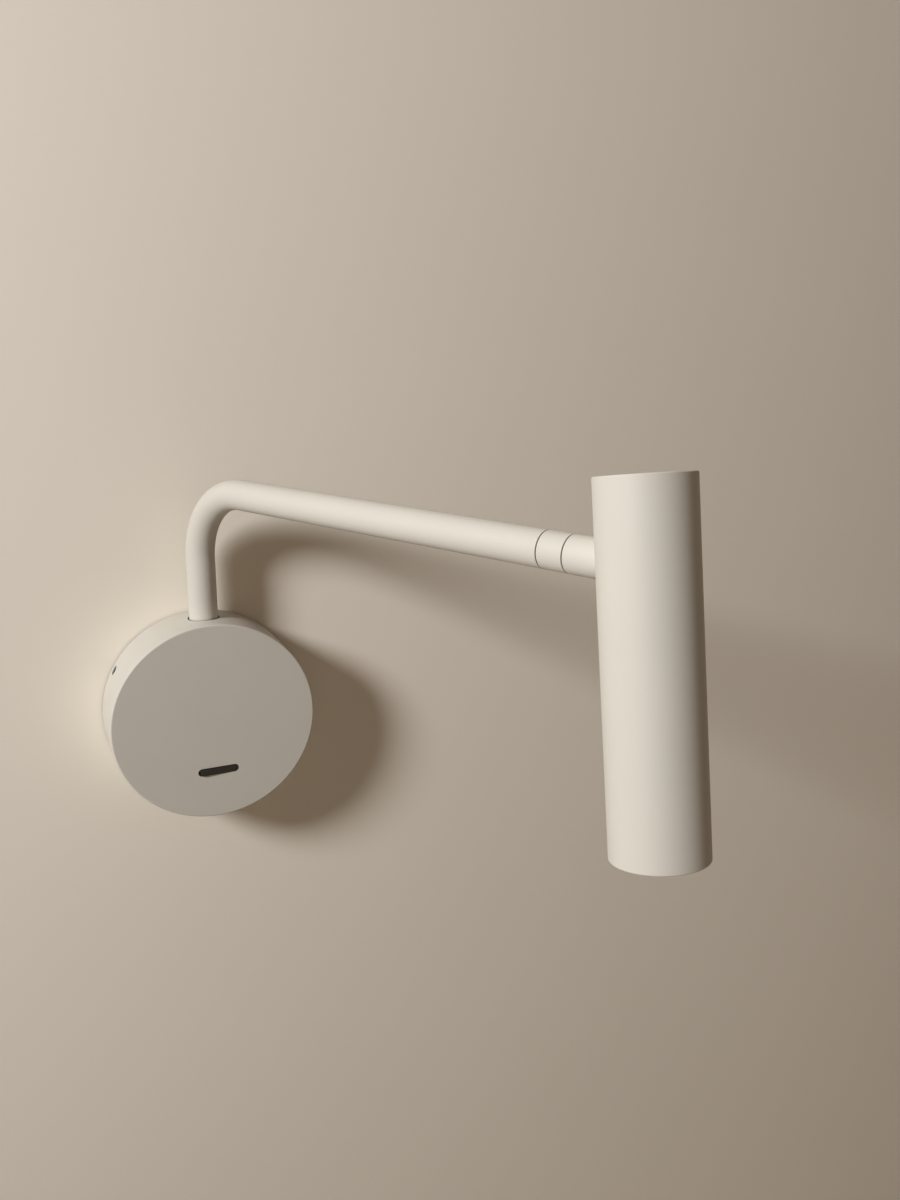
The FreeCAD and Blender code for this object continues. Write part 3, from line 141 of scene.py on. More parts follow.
LENS_RADIUS = reach("lens", HEAD_UP, KNUCKLE)
CONE_FOOT, CONE_TOP = span("reflector", HEAD_UP, KNUCKLE)
SCREW_LEVEL = sum(span("head_fixing_screw", HEAD_UP, KNUCKLE)) / 2
SCREW_HEAD, SCREW_TIP = span("head_fixing_screw", HEAD_OUT, KNUCKLE)
GROMMET_LIP = reach("cable_grommet", OUT, CENTRE)
GROMMET_FRONT = span("cable_grommet", OUT, CENTRE)[1]
ROCKER_BACK, ROCKER_FRONT = span("switch_rocker", ROCK @ OUT, SWITCH_PIVOT)
ROCKER_LENGTH = 2 * span("switch_rocker", ROCK @ RIGHT, SWITCH_PIVOT)[1]
ROCKER_WIDTH = 2 * span("switch_rocker", UP, SWITCH_PIVOT)[1]
LAMP_MIDDLE = (Vector(CAD_BOX[0]) + Vector(CAD_BOX[1])) / 2
TILT_LIMIT = math.radians(JOINTS["head_tilt"]["range_deg"][1]) - middle("head_tilt")

# ---- sizes that no box shows --------------------------------------------------------------------
RIM_WALL = 2.0 * MM
FACE_WALL = 2.5 * MM
FACE_ROUND = 0.8 * MM
BOSS_HEIGHT = 4.0 * MM
BOSSES = (  # radius, bore, distance from the middle, height above the middle of the base
    (3.0 * MM, 1.5 * MM, 18.0 * MM, 32.0 * MM),
    (2.4 * MM, 1.0 * MM, 17.0 * MM, SWITCH_PIVOT.z),
)
SLOT_LENGTH = 20.2 * MM
SLOT_WIDTH = 4.0 * MM
SIDE_SCREW_ANGLES = [math.radians(angle) for angle in (30, 150, 270)]
SIDE_SCREW_PLACE = 5.5 * MM
SIDE_SCREW_SINK = 0.5 * MM
SIDE_HEAD_RADIUS = 2.4 * MM
SIDE_HEAD_HEIGHT = 0.75 * MM
SIDE_SHANK_RADIUS = 1.5 * MM
SIDE_SHANK_LENGTH = 4.5 * MM
SOCKET_FLATS = 2.0 * MM
SOCKET_DEPTH = 0.55 * MM
TUBE_WALL = 1.5 * MM
BEND_RADIUS = 35.0 * MM
BUSH_WALL = 0.5 * MM
TONGUE_WIDTH = 6.0 * MM
TONGUE_HEIGHT = 9.0 * MM
SLOT_GAP = 0.3 * MM
EYE_BORE = 2.05 * MM
WIRE_WAY = 1.5 * MM
WIRE_WAY_END = 8.5 * MM
SEAM_BORE = 4.05 * MM
NECK_FLANGE = 2.2 * MM
NECK_CAVITY = 5.6 * MM
NECK_CHAMFER = 0.6 * MM
STOP_PIN_RADIUS = 0.8 * MM
STOP_PIN_PLACE = 5.5 * MM
STOP_PIN_REACH = 1.2 * MM
GROOVE_GAP = 0.05 * MM  # on both sides of the stop pin
GROOVE_BOTTOM = 0.2 * MM  # beyond its tip
STOP_WEB = 0.2 * MM
BLADE_LAP = 0.5 * MM  # of the tongue's blade in its plug
HEAD_WALL = 1.6 * MM
SHANK_RADIUS = 1.5 * MM
COUNTERSINK = 2.7 * MM
TRIM_WIDTH = 2.0 * MM
THROAT_RADIUS = 6.4 * MM
CONE_WALL = 1.2 * MM
CONE_COLLAR = 1.6 * MM
CONE_RIM = 1.5 * MM
CONE_MOUTH = 13.6 * MM
GROMMET_WALL = 2.0 * MM
PLATE_THICKNESS = 2.0 * MM
PIVOT_PIN_RADIUS = 0.8 * MM
WALL_REACH = 4.0  # radius of the scene's wall and half the side of its floor
WALL_GAP = 0.3 * MM  # keeps the wall clear of the back of the base
WALL_HOLE = 43.0 * MM  # in the scene's wall, hidden by the base
FLOOR_LEVEL = -1.1  # below the middle of the base

FINE_STEPS = 192
ROUND_STEPS = 144
EVEN_STEPS = 96
GROOVE_STEPS = 72
SMALL_STEPS = 48
BEND_STEPS = 40
TOOL_STEPS = 32
NEARLY_HALF = 0.4995  # rounds the ends of a bar without folding them
WELD = 0.001 * MM
HAIR = 0.01 * MM
SMOOTH_ANGLE = math.radians(32)
QUARTER = math.pi / 2


# ---- modelling ----------------------------------------------------------------------------------
def select_only(piece):
    """Make a piece the only selected and the active object."""
    bpy.ops.object.select_all(action="DESELECT")
    piece.select_set(True)
    bpy.context.view_layer.objects.active = piece


def named(name):
    """Name the object that was just added, and its mesh."""
    piece = bpy.context.object
    piece.name = name
    piece.data.name = name
    return piece


def choose(piece, kind, test):
    """Select the points or the edges of a piece in edit mode that pass a test."""
    bpy.ops.mesh.select_mode(type=kind)
    bpy.ops.mesh.select_all(action="DESELECT")
    shape = bmesh.from_edit_mesh(piece.data)
    for part in shape.verts if kind == "VERT" else shape.edges:
        if test(part):
            part.select_set(True)
    shape.select_flush_mode()
    bmesh.update_edit_mesh(piece.data)


def close(piece):
    """Weld what touches, turn the faces outwards and leave edit mode."""
    bpy.ops.mesh.select_mode(type="VERT")
    bpy.ops.mesh.select_all(action="SELECT")
    bpy.ops.mesh.remove_doubles(threshold=WELD)
    bpy.ops.mesh.normals_make_consistent(inside=False)
    bpy.ops.object.mode_set(mode="OBJECT")
    return piece


def turned(name, corners, steps=ROUND_STEPS):
    """Spin a profile of (radius, height, rounding) corners about Z.

    The profile closes on itself, or on the axis when both its ends lie there."""
    bpy.ops.object.select_all(action="DESELECT")
    bpy.ops.mesh.primitive_plane_add(size=MM)
    piece = named(name)
    bpy.ops.object.mode_set(mode="EDIT")
    bpy.ops.mesh.select_mode(type="VERT")
    bpy.ops.mesh.select_all(action="SELECT")
    bpy.ops.mesh.merge(type="CENTER")
    bpy.ops.mesh.select_all(action="SELECT")
    bpy.ops.transform.translate(value=(corners[0][0], 0, corners[0][1]))
    on_axis = corners[0][0] == 0 and corners[-1][0] == 0
    route = corners if on_axis else [*corners, corners[0]]
    for here, there in zip(route, route[1:]):
        step = {"value": (there[0] - here[0], 0, there[1] - here[1])}
        bpy.ops.mesh.extrude_region_move(TRANSFORM_OT_translate=step)
    bpy.ops.mesh.select_all(action="SELECT")
    bpy.ops.mesh.remove_doubles(threshold=WELD)
    for radius, height, rounding in corners:
        if rounding:
            corner = Vector((radius, 0, height))
            choose(piece, "VERT", lambda point: (point.co - corner).length < WELD)
            bpy.ops.mesh.bevel(offset=rounding, segments=5, affect="VERTICES")
    bpy.ops.mesh.select_mode(type="VERT")
    bpy.ops.mesh.select_all(action="SELECT")
    bpy.ops.mesh.spin(steps=steps, angle=math.tau, center=(0, 0, 0), axis=(0, 0, 1))
    return close(piece)


def rod(radius, length, place, turn=(0, 0, 0), sides=EVEN_STEPS):
    """A round or, with six sides, a hexagonal tool, its middle at the place."""
    bpy.ops.object.select_all(action="DESELECT")
    bpy.ops.mesh.primitive_cylinder_add(
        vertices=sides, radius=radius, depth=length, location=place, rotation=turn
    )
    return named("tool")


def bar(name, length, width, depth, place=(0, 0, 0), rounding=0.0):
    """A bar with its four edges along Z rounded."""
    bpy.ops.object.select_all(action="DESELECT")
    bpy.ops.mesh.primitive_cube_add(size=1)
    piece = named(name)
    bpy.ops.object.mode_set(mode="EDIT")
    bpy.ops.mesh.select_all(action="SELECT")
    bpy.ops.transform.resize(value=(length, width, depth))
    if rounding:
        choose(piece, "EDGE", lambda edge: abs(edge.verts[0].co.z - edge.verts[1].co.z) > depth / 2)
        bpy.ops.mesh.bevel(offset=rounding, segments=16, affect="EDGES")
    bpy.ops.mesh.select_mode(type="VERT")
    bpy.ops.mesh.select_all(action="SELECT")
    bpy.ops.transform.translate(value=place)
    return close(piece)


def combine(piece, operation, *tools):
    """Cut tools from a piece, join them to it, or keep what both hold."""
    for tool in tools:
        step = piece.modifiers.new("combine", "BOOLEAN")
        step.operation = operation
        step.solver = "EXACT"
        step.object = tool
        select_only(piece)
        bpy.ops.object.modifier_apply(modifier=step.name)
        bpy.data.objects.remove(tool)
    return piece


def laid(piece, place):
    """Put a piece at its place, with the place in its mesh."""
    select_only(piece)
    piece.matrix_world = place @ piece.matrix_world
    bpy.ops.object.transform_apply(location=True, rotation=True, scale=True)
    return piece


def deliver(piece, place, body, material, slot, *nodes):
    """Lay a piece in its frame, shade it, give it its finish and hand it to its body."""
    laid(piece, place)
    bpy.ops.object.shade_smooth_by_angle(angle=SMOOTH_ANGLE)
    even = piece.modifiers.new("even shading", "WEIGHTED_NORMAL")
    even.keep_sharp = True
    bpy.ops.object.modifier_apply(modifier=even.name)
    piece.data.materials.clear()
    piece.data.materials.append(material)
    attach(piece, body)
    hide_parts(*nodes)


# ---- finishes -----------------------------------------------------------------------------------
MIX_A, MIX_B, MIXED = 6, 7, 2  # sockets of a Mix node that blends colours
WALL_GAIN, FLOOR_GAIN = 1.58, 3.0  # how much paler the camera sees the wall and the floor


def linear(code):
    """Linear colour of an sRGB hex value such as #E4DFD4."""
    channels = [int(code[i:i + 2], 16) / 255 for i in (1, 3, 5)]
    curve = [c / 12.92 if c <= 0.04045 else ((c + 0.055) / 1.055) ** 2.4 for c in channels]
    return (*curve, 1.0)


def scaled(colour, share):
    """A colour at this share of its brightness."""
    return (*[channel * share for channel in colour[:3]], 1.0)


def add(tree, kind, values=None, **settings):
    """Add a shader node with its settings; a value is a number, a colour or an output to link."""
    item = tree.nodes.new(kind)
    for name, setting in settings.items():
        setattr(item, name, setting)
    for name, value in (values or {}).items():
        if isinstance(value, bpy.types.NodeSocket):
            tree.links.new(value, item.inputs[name])
        else:
            item.inputs[name].default_value = value
    return item


def blank(name):
    """A new empty material, its node tree and the place on the object in metres."""
    material = bpy.data.materials.new(name)
    material.use_nodes = True
    tree = material.node_tree
    tree.nodes.clear()
    return material, tree, add(tree, "ShaderNodeTexCoord").outputs["Object"]


def patches(tree, place, first, second, size, detail=3.0):
    """A colour that drifts between two colours, in soft patches of this size."""
    field = add(tree, "ShaderNodeTexNoise", {"Vector": place, "Scale": 1 / size, "Detail": detail})
    mixed = add(tree, "ShaderNodeMix", {"Factor": field.outputs["Fac"], MIX_A: first, MIX_B: second},
                data_type="RGBA")
    return mixed.outputs[MIXED]


def finished(tree, values, colour, pattern, depth, strength, rough=None):
    """Principled surface with these constants, whose relief of this depth follows a pattern.

    With two limits the roughness follows the pattern too, over the middle of its range."""
    relief = add(tree, "ShaderNodeBump", {"Height": pattern, "Distance": depth, "Strength": strength})
    inputs = {"Base Color": colour, "Normal": relief.outputs["Normal"], **values}
    if rough:
        mapped = add(tree, "ShaderNodeMapRange", {"Value": pattern, "From Min": 0.3, "From Max": 0.7,
                                                  "To Min": rough[0], "To Max": rough[1]})
        inputs["Roughness"] = mapped.outputs["Result"]
    surface = add(tree, "ShaderNodeBsdfPrincipled", inputs)
    add(tree, "ShaderNodeOutputMaterial", {"Surface": surface.outputs["BSDF"]})


def seen_directly(tree):
    """1 on rays from the camera, a mirror or clear glass, and 0 on those that light other things."""
    path = add(tree, "ShaderNodeLightPath").outputs
    clear_sight = add(tree, "ShaderNodeMath",
                      {0: path["Is Camera Ray"], 1: path["Is Transmission Ray"]})
    either = add(tree, "ShaderNodeMath",
                 {0: clear_sight.outputs["Value"], 1: path["Is Glossy Ray"]}, use_clamp=True)
    return either.outputs["Value"]


@cache
def powder_coat():
    """Fine-texture polyester powder on steel and aluminium tube, sprayed and stoved.

    The eye sees a soft matt surface with a very fine, even grain and no sharp reflection."""
    material, tree, place = blank("Polyester powder coat, matt off-white")
    coat = (*bpy.context.scene.lamp_colours.coat, 1.0)
    grain_size = bpy.context.scene.lamp_sizes.coat_grain
    colour = patches(tree, place, scaled(coat, 0.975), scaled(coat, 1.02), 22 * MM)
    # the real grain of 0.2 mm is too fine to show, so it is drawn coarser and very flat
    grain = add(tree, "ShaderNodeTexNoise",
                {"Vector": place, "Scale": 1 / grain_size, "Detail": 2.0, "Roughness": 0.6})
    finished(tree, {"Specular IOR Level": 0.42},
             colour, grain.outputs["Fac"], 0.05 * MM, 0.35, (0.5, 0.6))
    return material


@cache
def moulded_black():
    """Black ABS from a spark-eroded mould: deep brown-black with a soft satin shine."""
    material, tree, place = blank("ABS, black, fine spark-eroded moulding")
    black = (*bpy.context.scene.lamp_colours.plastic, 1.0)
    colour = patches(tree, place, scaled(black, 0.85), scaled(black, 1.2), 4 * MM)
    grain = add(tree, "ShaderNodeTexNoise", {"Vector": place, "Scale": 1 / (0.35 * MM), "Detail": 2.0})
    finished(tree, {"IOR": 1.53}, colour, grain.outputs["Fac"], 0.02 * MM, 0.3, (0.38, 0.5))
    return material


@cache
def friction_disc():
    """Pressed fibre disc between the turning parts: dull, dark and slightly greenish."""
    material, tree, place = blank("Friction disc, pressed fibre, dark grey")
    dark = (*bpy.context.scene.lamp_colours.seam, 1.0)
    colour = patches(tree, place, scaled(dark, 0.75), scaled(dark, 1.25), 0.8 * MM)
    fibre = add(tree, "ShaderNodeTexNoise", {"Vector": place, "Scale": 1 / (0.3 * MM), "Detail": 3.0})
    finished(tree, {"Roughness": 0.85, "Specular IOR Level": 0.25},
             colour, fibre.outputs["Fac"], 0.03 * MM, 0.4)
    return material


@cache
def zinc_plate():
    """Pressed and turned steel with a clear-passivated zinc plate: bright, cool, a little cloudy."""
    material, tree, place = blank("Steel, bright zinc plated")
    colour = patches(tree, place, linear("#B9BDBF"), linear("#D2D4D0"), 6 * MM)
    cloud = add(tree, "ShaderNodeTexNoise", {"Vector": place, "Scale": 1 / (2.5 * MM), "Detail": 4.0})
    finished(tree, {"Metallic": 1.0}, colour, cloud.outputs["Fac"], 0.01 * MM, 0.3, (0.28, 0.42))
    return material


@cache
def black_oxide():
    """Hardened steel screw blackened in a bath: near black with a dull oily metal shine."""
    material, tree, place = blank("Steel screw, black oxide")
    colour = patches(tree, place, linear("#252321"), linear("#3A3735"), 1 * MM)
    field = add(tree, "ShaderNodeTexNoise", {"Vector": place, "Scale": 1 / (0.4 * MM), "Detail": 3.0})
    finished(tree, {"Metallic": 0.75}, colour, field.outputs["Fac"], 0.01 * MM, 0.3, (0.38, 0.52))
    return material


@cache
def turned_brass():
    """Free-cutting brass off the lathe: warm yellow with fine tool rings."""
    material, tree, place = blank("Brass, turned")
    colour = patches(tree, place, linear("#C39B4E"), linear("#DDBE74"), 3 * MM)
    marks = add(tree, "ShaderNodeTexNoise", {"Vector": place, "Scale": 1 / (0.3 * MM), "Detail": 2.0})
    finished(tree, {"Metallic": 1.0}, colour, marks.outputs["Fac"], 0.01 * MM, 0.4, (0.2, 0.34))
    return material


@cache
def cast_zinc():
    """Die-cast zinc alloy straight from the tumbler: mid grey, soft satin, faintly mottled."""
    material, tree, place = blank("Zinc alloy, die-cast and tumbled")
    colour = patches(tree, place, linear("#84878A"), linear("#A3A5A6"), 3 * MM, 5.0)
    pits = add(tree, "ShaderNodeTexNoise", {"Vector": place, "Scale": 1 / (0.6 * MM), "Detail": 4.0})
    finished(tree, {"Metallic": 1.0}, colour, pits.outputs["Fac"], 0.05 * MM, 0.4, (0.42, 0.6))
    return material


@cache
def natural_nylon():
    """Unfilled nylon: milky, slightly translucent, with a waxy shine."""
    material, tree, place = blank("Nylon, natural, moulded")
    colour = patches(tree, place, linear("#D9D5C6"), linear("#ECE9DD"), 4 * MM)
    flow = add(tree, "ShaderNodeTexNoise", {"Vector": place, "Scale": 1 / (1.2 * MM), "Detail": 2.0})
    finished(tree, {"IOR": 1.53, "Subsurface Weight": 0.15, "Subsurface Scale": 1 * MM},
             colour, flow.outputs["Fac"], 0.01 * MM, 0.3, (0.32, 0.45))
    return material


@cache
def white_casing():
    """Glossy white casing of the driver, with the slight waviness of a thin moulding."""
    material, tree, place = blank("Polycarbonate, white, moulded")
    colour = patches(tree, place, linear("#E2E1DC"), linear("#EEEDE9"), 12 * MM)
    waves = add(tree, "ShaderNodeTexNoise", {"Vector": place, "Scale": 1 / (5 * MM), "Detail": 2.0})
    finished(tree, {"IOR": 1.58}, colour, waves.outputs["Fac"], 0.04 * MM, 0.4, (0.26, 0.36))
    return material


@cache
def foam_tape():
    """Double-sided foam tape: pale grey, with open cells along its edges."""
    material, tree, place = blank("Polyethylene foam tape")
    cells = add(tree, "ShaderNodeTexVoronoi", {"Vector": place, "Scale": 1 / (0.4 * MM)})
    colour = patches(tree, place, linear("#BDBCB6"), linear("#D0CFC9"), 0.6 * MM)
    finished(tree, {"Roughness": 0.9, "Specular IOR Level": 0.2},
             colour, cells.outputs["Distance"], 0.1 * MM, 0.6)
    return material


@cache
def soft_rubber():
    """Soft black rubber: matt, with a faint grey bloom."""
    material, tree, place = blank("EPDM rubber, black, moulded")
    colour = patches(tree, place, linear("#1F1F1F"), linear("#333332"), 5 * MM)
    skin = add(tree, "ShaderNodeTexNoise", {"Vector": place, "Scale": 1 / (0.5 * MM), "Detail": 3.0})
    finished(tree, {"Roughness": 0.75, "Specular IOR Level": 0.35},
             colour, skin.outputs["Fac"], 0.03 * MM, 0.5)
    return material


@cache
def mill_aluminium():
    """Extruded aluminium: bright grey with fine die lines along the profile."""
    material, tree, place = blank("Aluminium, extruded, mill finish")
    turn = HEAD.to_3x3().to_euler()
    drawn = add(tree, "ShaderNodeMapping",
                {"Vector": place, "Rotation": turn, "Scale": (1, 1, 40)}, vector_type="TEXTURE")
    lines = add(tree, "ShaderNodeTexNoise",
                {"Vector": drawn.outputs["Vector"], "Scale": 1 / (0.5 * MM), "Detail": 2.0})
    colour = patches(tree, place, linear("#C6C8CA"), linear("#D8D9DA"), 8 * MM)
    finished(tree, {"Metallic": 1.0}, colour, lines.outputs["Fac"], 0.02 * MM, 0.4, (0.28, 0.44))
    return material


@cache
def metallised():
    """Reflector skin of evaporated aluminium: a bright mirror with a trace of orange peel."""
    material, tree, place = blank("Polycarbonate, vacuum metallised")
    colour = patches(tree, place, linear("#E6E7E8"), linear("#EFEFEF"), 5 * MM)
    peel = add(tree, "ShaderNodeTexNoise", {"Vector": place, "Scale": 1 / (1.5 * MM), "Detail": 2.0})
    finished(tree, {"Metallic": 1.0}, colour, peel.outputs["Fac"], 0.01 * MM, 0.3, (0.06, 0.12))
    return material


@cache
def frosted_acrylic():
    """Diffuser of blasted acrylic: milky white, lets light through without a clear view."""
    material, tree, place = blank("Acrylic, frosted")
    colour = patches(tree, place, linear("#EDEDE8"), linear("#F6F6F2"), 5 * MM)
    frost = add(tree, "ShaderNodeTexNoise", {"Vector": place, "Scale": 1 / (0.3 * MM), "Detail": 2.0})
    finished(tree, {"IOR": 1.49, "Transmission Weight": 0.6},
             colour, frost.outputs["Fac"], 0.02 * MM, 0.4, (0.5, 0.62))
    return material


@cache
def phosphor():
    """Cured silicone over the light chips: egg-yolk yellow, smooth, slightly granular."""
    material, tree, place = blank("Silicone gel with phosphor")
    colour = patches(tree, place, linear("#E3C24A"), linear("#F0D768"), 0.6 * MM)
    grains = add(tree, "ShaderNodeTexNoise", {"Vector": place, "Scale": 1 / (0.2 * MM), "Detail": 2.0})
    finished(tree, {"IOR": 1.41}, colour, grains.outputs["Fac"], 0.01 * MM, 0.3, (0.3, 0.45))
    return material


def room_paint(name, gain):
    """Matt paint on plaster or screed, warm grey with the faint stipple of a roller.

    The camera sees it paler than the lamp does, and from behind it lets the view through."""
    material, tree, place = blank(name)
    tint = (*bpy.context.scene.lamp_colours.wall, 1.0)
    colour = patches(tree, place, scaled(tint, 0.985), scaled(tint, 1.015), 120 * MM)
    pale = patches(tree, place, scaled(tint, 0.985 * gain), scaled(tint, 1.015 * gain), 120 * MM)
    shown = add(tree, "ShaderNodeMix",
                {"Factor": seen_directly(tree), MIX_A: colour, MIX_B: pale}, data_type="RGBA")
    roller = add(tree, "ShaderNodeTexNoise", {"Vector": place, "Scale": 1 / (3 * MM), "Detail": 3.0})
    relief = add(tree, "ShaderNodeBump",
                 {"Height": roller.outputs["Fac"], "Distance": 0.1 * MM, "Strength": 0.25})
    paint = add(tree, "ShaderNodeBsdfDiffuse",
                {"Color": shown.outputs[MIXED], "Normal": relief.outputs["Normal"]})
    behind = add(tree, "ShaderNodeNewGeometry").outputs["Backfacing"]
    clear = add(tree, "ShaderNodeBsdfTransparent")
    seen = add(tree, "ShaderNodeMixShader",
               {"Fac": behind, 1: paint.outputs["BSDF"], 2: clear.outputs["BSDF"]})
    add(tree, "ShaderNodeOutputMaterial", {"Surface": seen.outputs["Shader"]})
    return material


# ---- what a user would change -------------------------------------------------------------------
class LampSizes(bpy.types.PropertyGroup):
    """Small sizes of the lamp's finish that a user would change."""

    face_round: bpy.props.FloatProperty(
        name="Face rounding", description="Rounding of the front edge of the round cover",
        default=FACE_ROUND, min=0.1 * MM, max=2 * MM, precision=5, unit="LENGTH")
    edge_round: bpy.props.FloatProperty(
        name="Tube edges", description="Rounding of the tube edges on both sides of a seam",
        default=0.22 * MM, min=0.02 * MM, max=0.4 * MM, precision=5, unit="LENGTH")
    head_round: bpy.props.FloatProperty(
        name="Head edges", description="Rounding of the head tube's outer edges",
        default=0.5 * MM, min=0.05 * MM, max=1.2 * MM, precision=5, unit="LENGTH")
    rocker_round: bpy.props.FloatProperty(
        name="Rocker edges", description="Rounding round the front of the rocker",
        default=0.45 * MM, min=0.05 * MM, max=1.2 * MM, precision=5, unit="LENGTH")
    coat_grain: bpy.props.FloatProperty(
        name="Coat grain", description="Size of the grain of the powder coat",
        default=0.7 * MM, min=0.1 * MM, max=3 * MM, precision=5, unit="LENGTH")


class LampColours(bpy.types.PropertyGroup):
    """Colours of the lamp and the wall."""

    coat: bpy.props.FloatVectorProperty(
        name="Coat", description="Powder coat of the base, the arm and the head",
        default=linear("#E2DED4")[:3], min=0, max=1, subtype="COLOR")
    plastic: bpy.props.FloatVectorProperty(
        name="Rocker and bush", description="Black plastic of the rocker, its housing and the bush",
        default=linear("#1C1915")[:3], min=0, max=1, subtype="COLOR")
    seam: bpy.props.FloatVectorProperty(
        name="Seams", description="Friction discs that show in the seams of the arm",
        default=linear("#27302B")[:3], min=0, max=1, subtype="COLOR")
    wall: bpy.props.FloatVectorProperty(
        name="Wall", description="Paint of the wall behind the lamp",
        default=linear("#D8D2C7")[:3], min=0, max=1, subtype="COLOR")


# ---- the pieces ---------------------------------------------------------------------------------
class LAMP_OT_base_cover(bpy.types.Operator):
    """Deep round cover of the base, with the arm's hole, the switch slot and the screw seats"""

    bl_idname = "lamp.base_cover"
    bl_label = "Round cover"

    def execute(self, context):
        sizes = context.scene.lamp_sizes
        inner = COVER_RADIUS - RIM_WALL
        inside = COVER_FRONT - FACE_WALL
        cover = turned("round_cover", [
            (0, COVER_FRONT, 0),
            (COVER_RADIUS, COVER_FRONT, sizes.face_round),
            (COVER_RADIUS, COVER_BACK, 0.2 * MM),
            (inner, COVER_BACK, 0.2 * MM),
            (inner, inside, 0.5 * MM),
            (0, inside, 0),
        ], steps=FINE_STEPS)
        for radius, bore, across, height in BOSSES:
            for side in (-1, 1):
                boss_place = (side * across, height, inside - (BOSS_HEIGHT - HAIR) / 2 + HAIR)
                combine(cover, "UNION",
                        rod(radius, BOSS_HEIGHT + HAIR, boss_place, sides=SMALL_STEPS))
                combine(cover, "DIFFERENCE",
                        rod(bore, BOSS_HEIGHT, (side * across, height, inside - BOSS_HEIGHT / 2),
                            sides=TOOL_STEPS))
        arm_place = (0, COVER_RADIUS, -PIVOT.y)
        combine(cover, "DIFFERENCE",
                rod(BUSH_RADIUS, COVER_RADIUS / 2, arm_place, (QUARTER, 0, 0)))
        slot = bar("slot_tool", SLOT_LENGTH, SLOT_WIDTH, 3 * FACE_WALL,
                   (0, SWITCH_PIVOT.z, COVER_FRONT), NEARLY_HALF * SLOT_WIDTH)
        combine(cover, "DIFFERENCE", slot)
        seat = COVER_RADIUS - SIDE_SCREW_SINK - SIDE_HEAD_HEIGHT
        for angle in SIDE_SCREW_ANGLES:
            out = Vector((math.cos(angle), math.sin(angle), 0))
            aim = out.to_track_quat("Z", "Y").to_euler()
            level = Vector((0, 0, SIDE_SCREW_PLACE))
            through = rod(SIDE_SHANK_RADIUS, 4 * RIM_WALL, level + out * COVER_RADIUS, aim,
                          SMALL_STEPS)
            sink = rod(SIDE_HEAD_RADIUS, 2 * RIM_WALL, level + out * (seat + RIM_WALL), aim,
                       SMALL_STEPS)
            combine(cover, "DIFFERENCE", through, sink)
        deliver(cover, BASE, "base", powder_coat(), "white_powder_coat", "base_cover")
        return {"FINISHED"}


class LAMP_OT_side_screws(bpy.types.Operator):
    """Three black screws in the rim that hold the cover to the wall plate"""

    bl_idname = "lamp.side_screws"
    bl_label = "Side screws"

    def execute(self, context):
        screw = turned("side_screws", [
            (0, SIDE_HEAD_HEIGHT, 0),
            (0.85 * SIDE_HEAD_RADIUS, SIDE_HEAD_HEIGHT, 0.15 * MM),
            (SIDE_HEAD_RADIUS - HAIR, 0.35 * SIDE_HEAD_HEIGHT, 0.1 * MM),
            (SIDE_HEAD_RADIUS - HAIR, 0, 0),
            (SIDE_SHANK_RADIUS - HAIR, 0, 0),
            (SIDE_SHANK_RADIUS - HAIR, -SIDE_SHANK_LENGTH, 0.3 * MM),
            (0, -SIDE_SHANK_LENGTH, 0),
        ], steps=SMALL_STEPS)
        flats = 0.95 * SIDE_HEAD_RADIUS / math.sqrt(3)
        combine(screw, "DIFFERENCE",
                rod(flats, 1.4 * SIDE_HEAD_HEIGHT, (0, 0, SIDE_HEAD_HEIGHT), sides=6))
        seat = COVER_RADIUS - SIDE_SCREW_SINK - SIDE_HEAD_HEIGHT
        screws = [screw]
        for _ in SIDE_SCREW_ANGLES[1:]:
            twin = screw.copy()
            twin.data = screw.data.copy()
            context.collection.objects.link(twin)
            screws.append(twin)
        for item, angle in zip(screws, SIDE_SCREW_ANGLES):
            out = Vector((math.cos(angle), math.sin(angle), 0))
            turn = out.to_track_quat("Z", "Y").to_matrix().to_4x4()
            place = Matrix.Translation(Vector((0, 0, SIDE_SCREW_PLACE)) + out * seat)
            laid(item, place @ turn)
        bpy.ops.object.select_all(action="DESELECT")
        for item in screws:
            item.select_set(True)
        context.view_layer.objects.active = screw
        bpy.ops.object.join()
        deliver(screw, BASE, "base", black_oxide(), "black_screw", "cover_side_screws")
        return {"FINISHED"}


class LAMP_OT_rim_bush(bpy.types.Operator):
    """Thin black bush round the arm where it leaves the rim, cut flush with the rim"""

    bl_idname = "lamp.rim_bush"
    bl_label = "Rim bush"

    def execute(self, context):
        above = COVER_RADIUS + (COVER_RADIUS - BUSH_FOOT)
        bore = BUSH_RADIUS - BUSH_WALL
        bush = turned("rim_bush_ring", [
            (bore, BUSH_FOOT, 0),
            (bore, above, 0),
            (BUSH_RADIUS, above, 0),
            (BUSH_RADIUS, BUSH_FOOT, 0),
        ])
        laid(bush, STUB)
        flush = rod(COVER_RADIUS, 2 * COVER_FRONT, (0, 0, 0), (QUARTER, 0, 0), sides=FINE_STEPS)
        combine(bush, "INTERSECT", flush)
        deliver(bush, Matrix(), "base", moulded_black(), "black_plastic", "rim_bush")
        return {"FINISHED"}


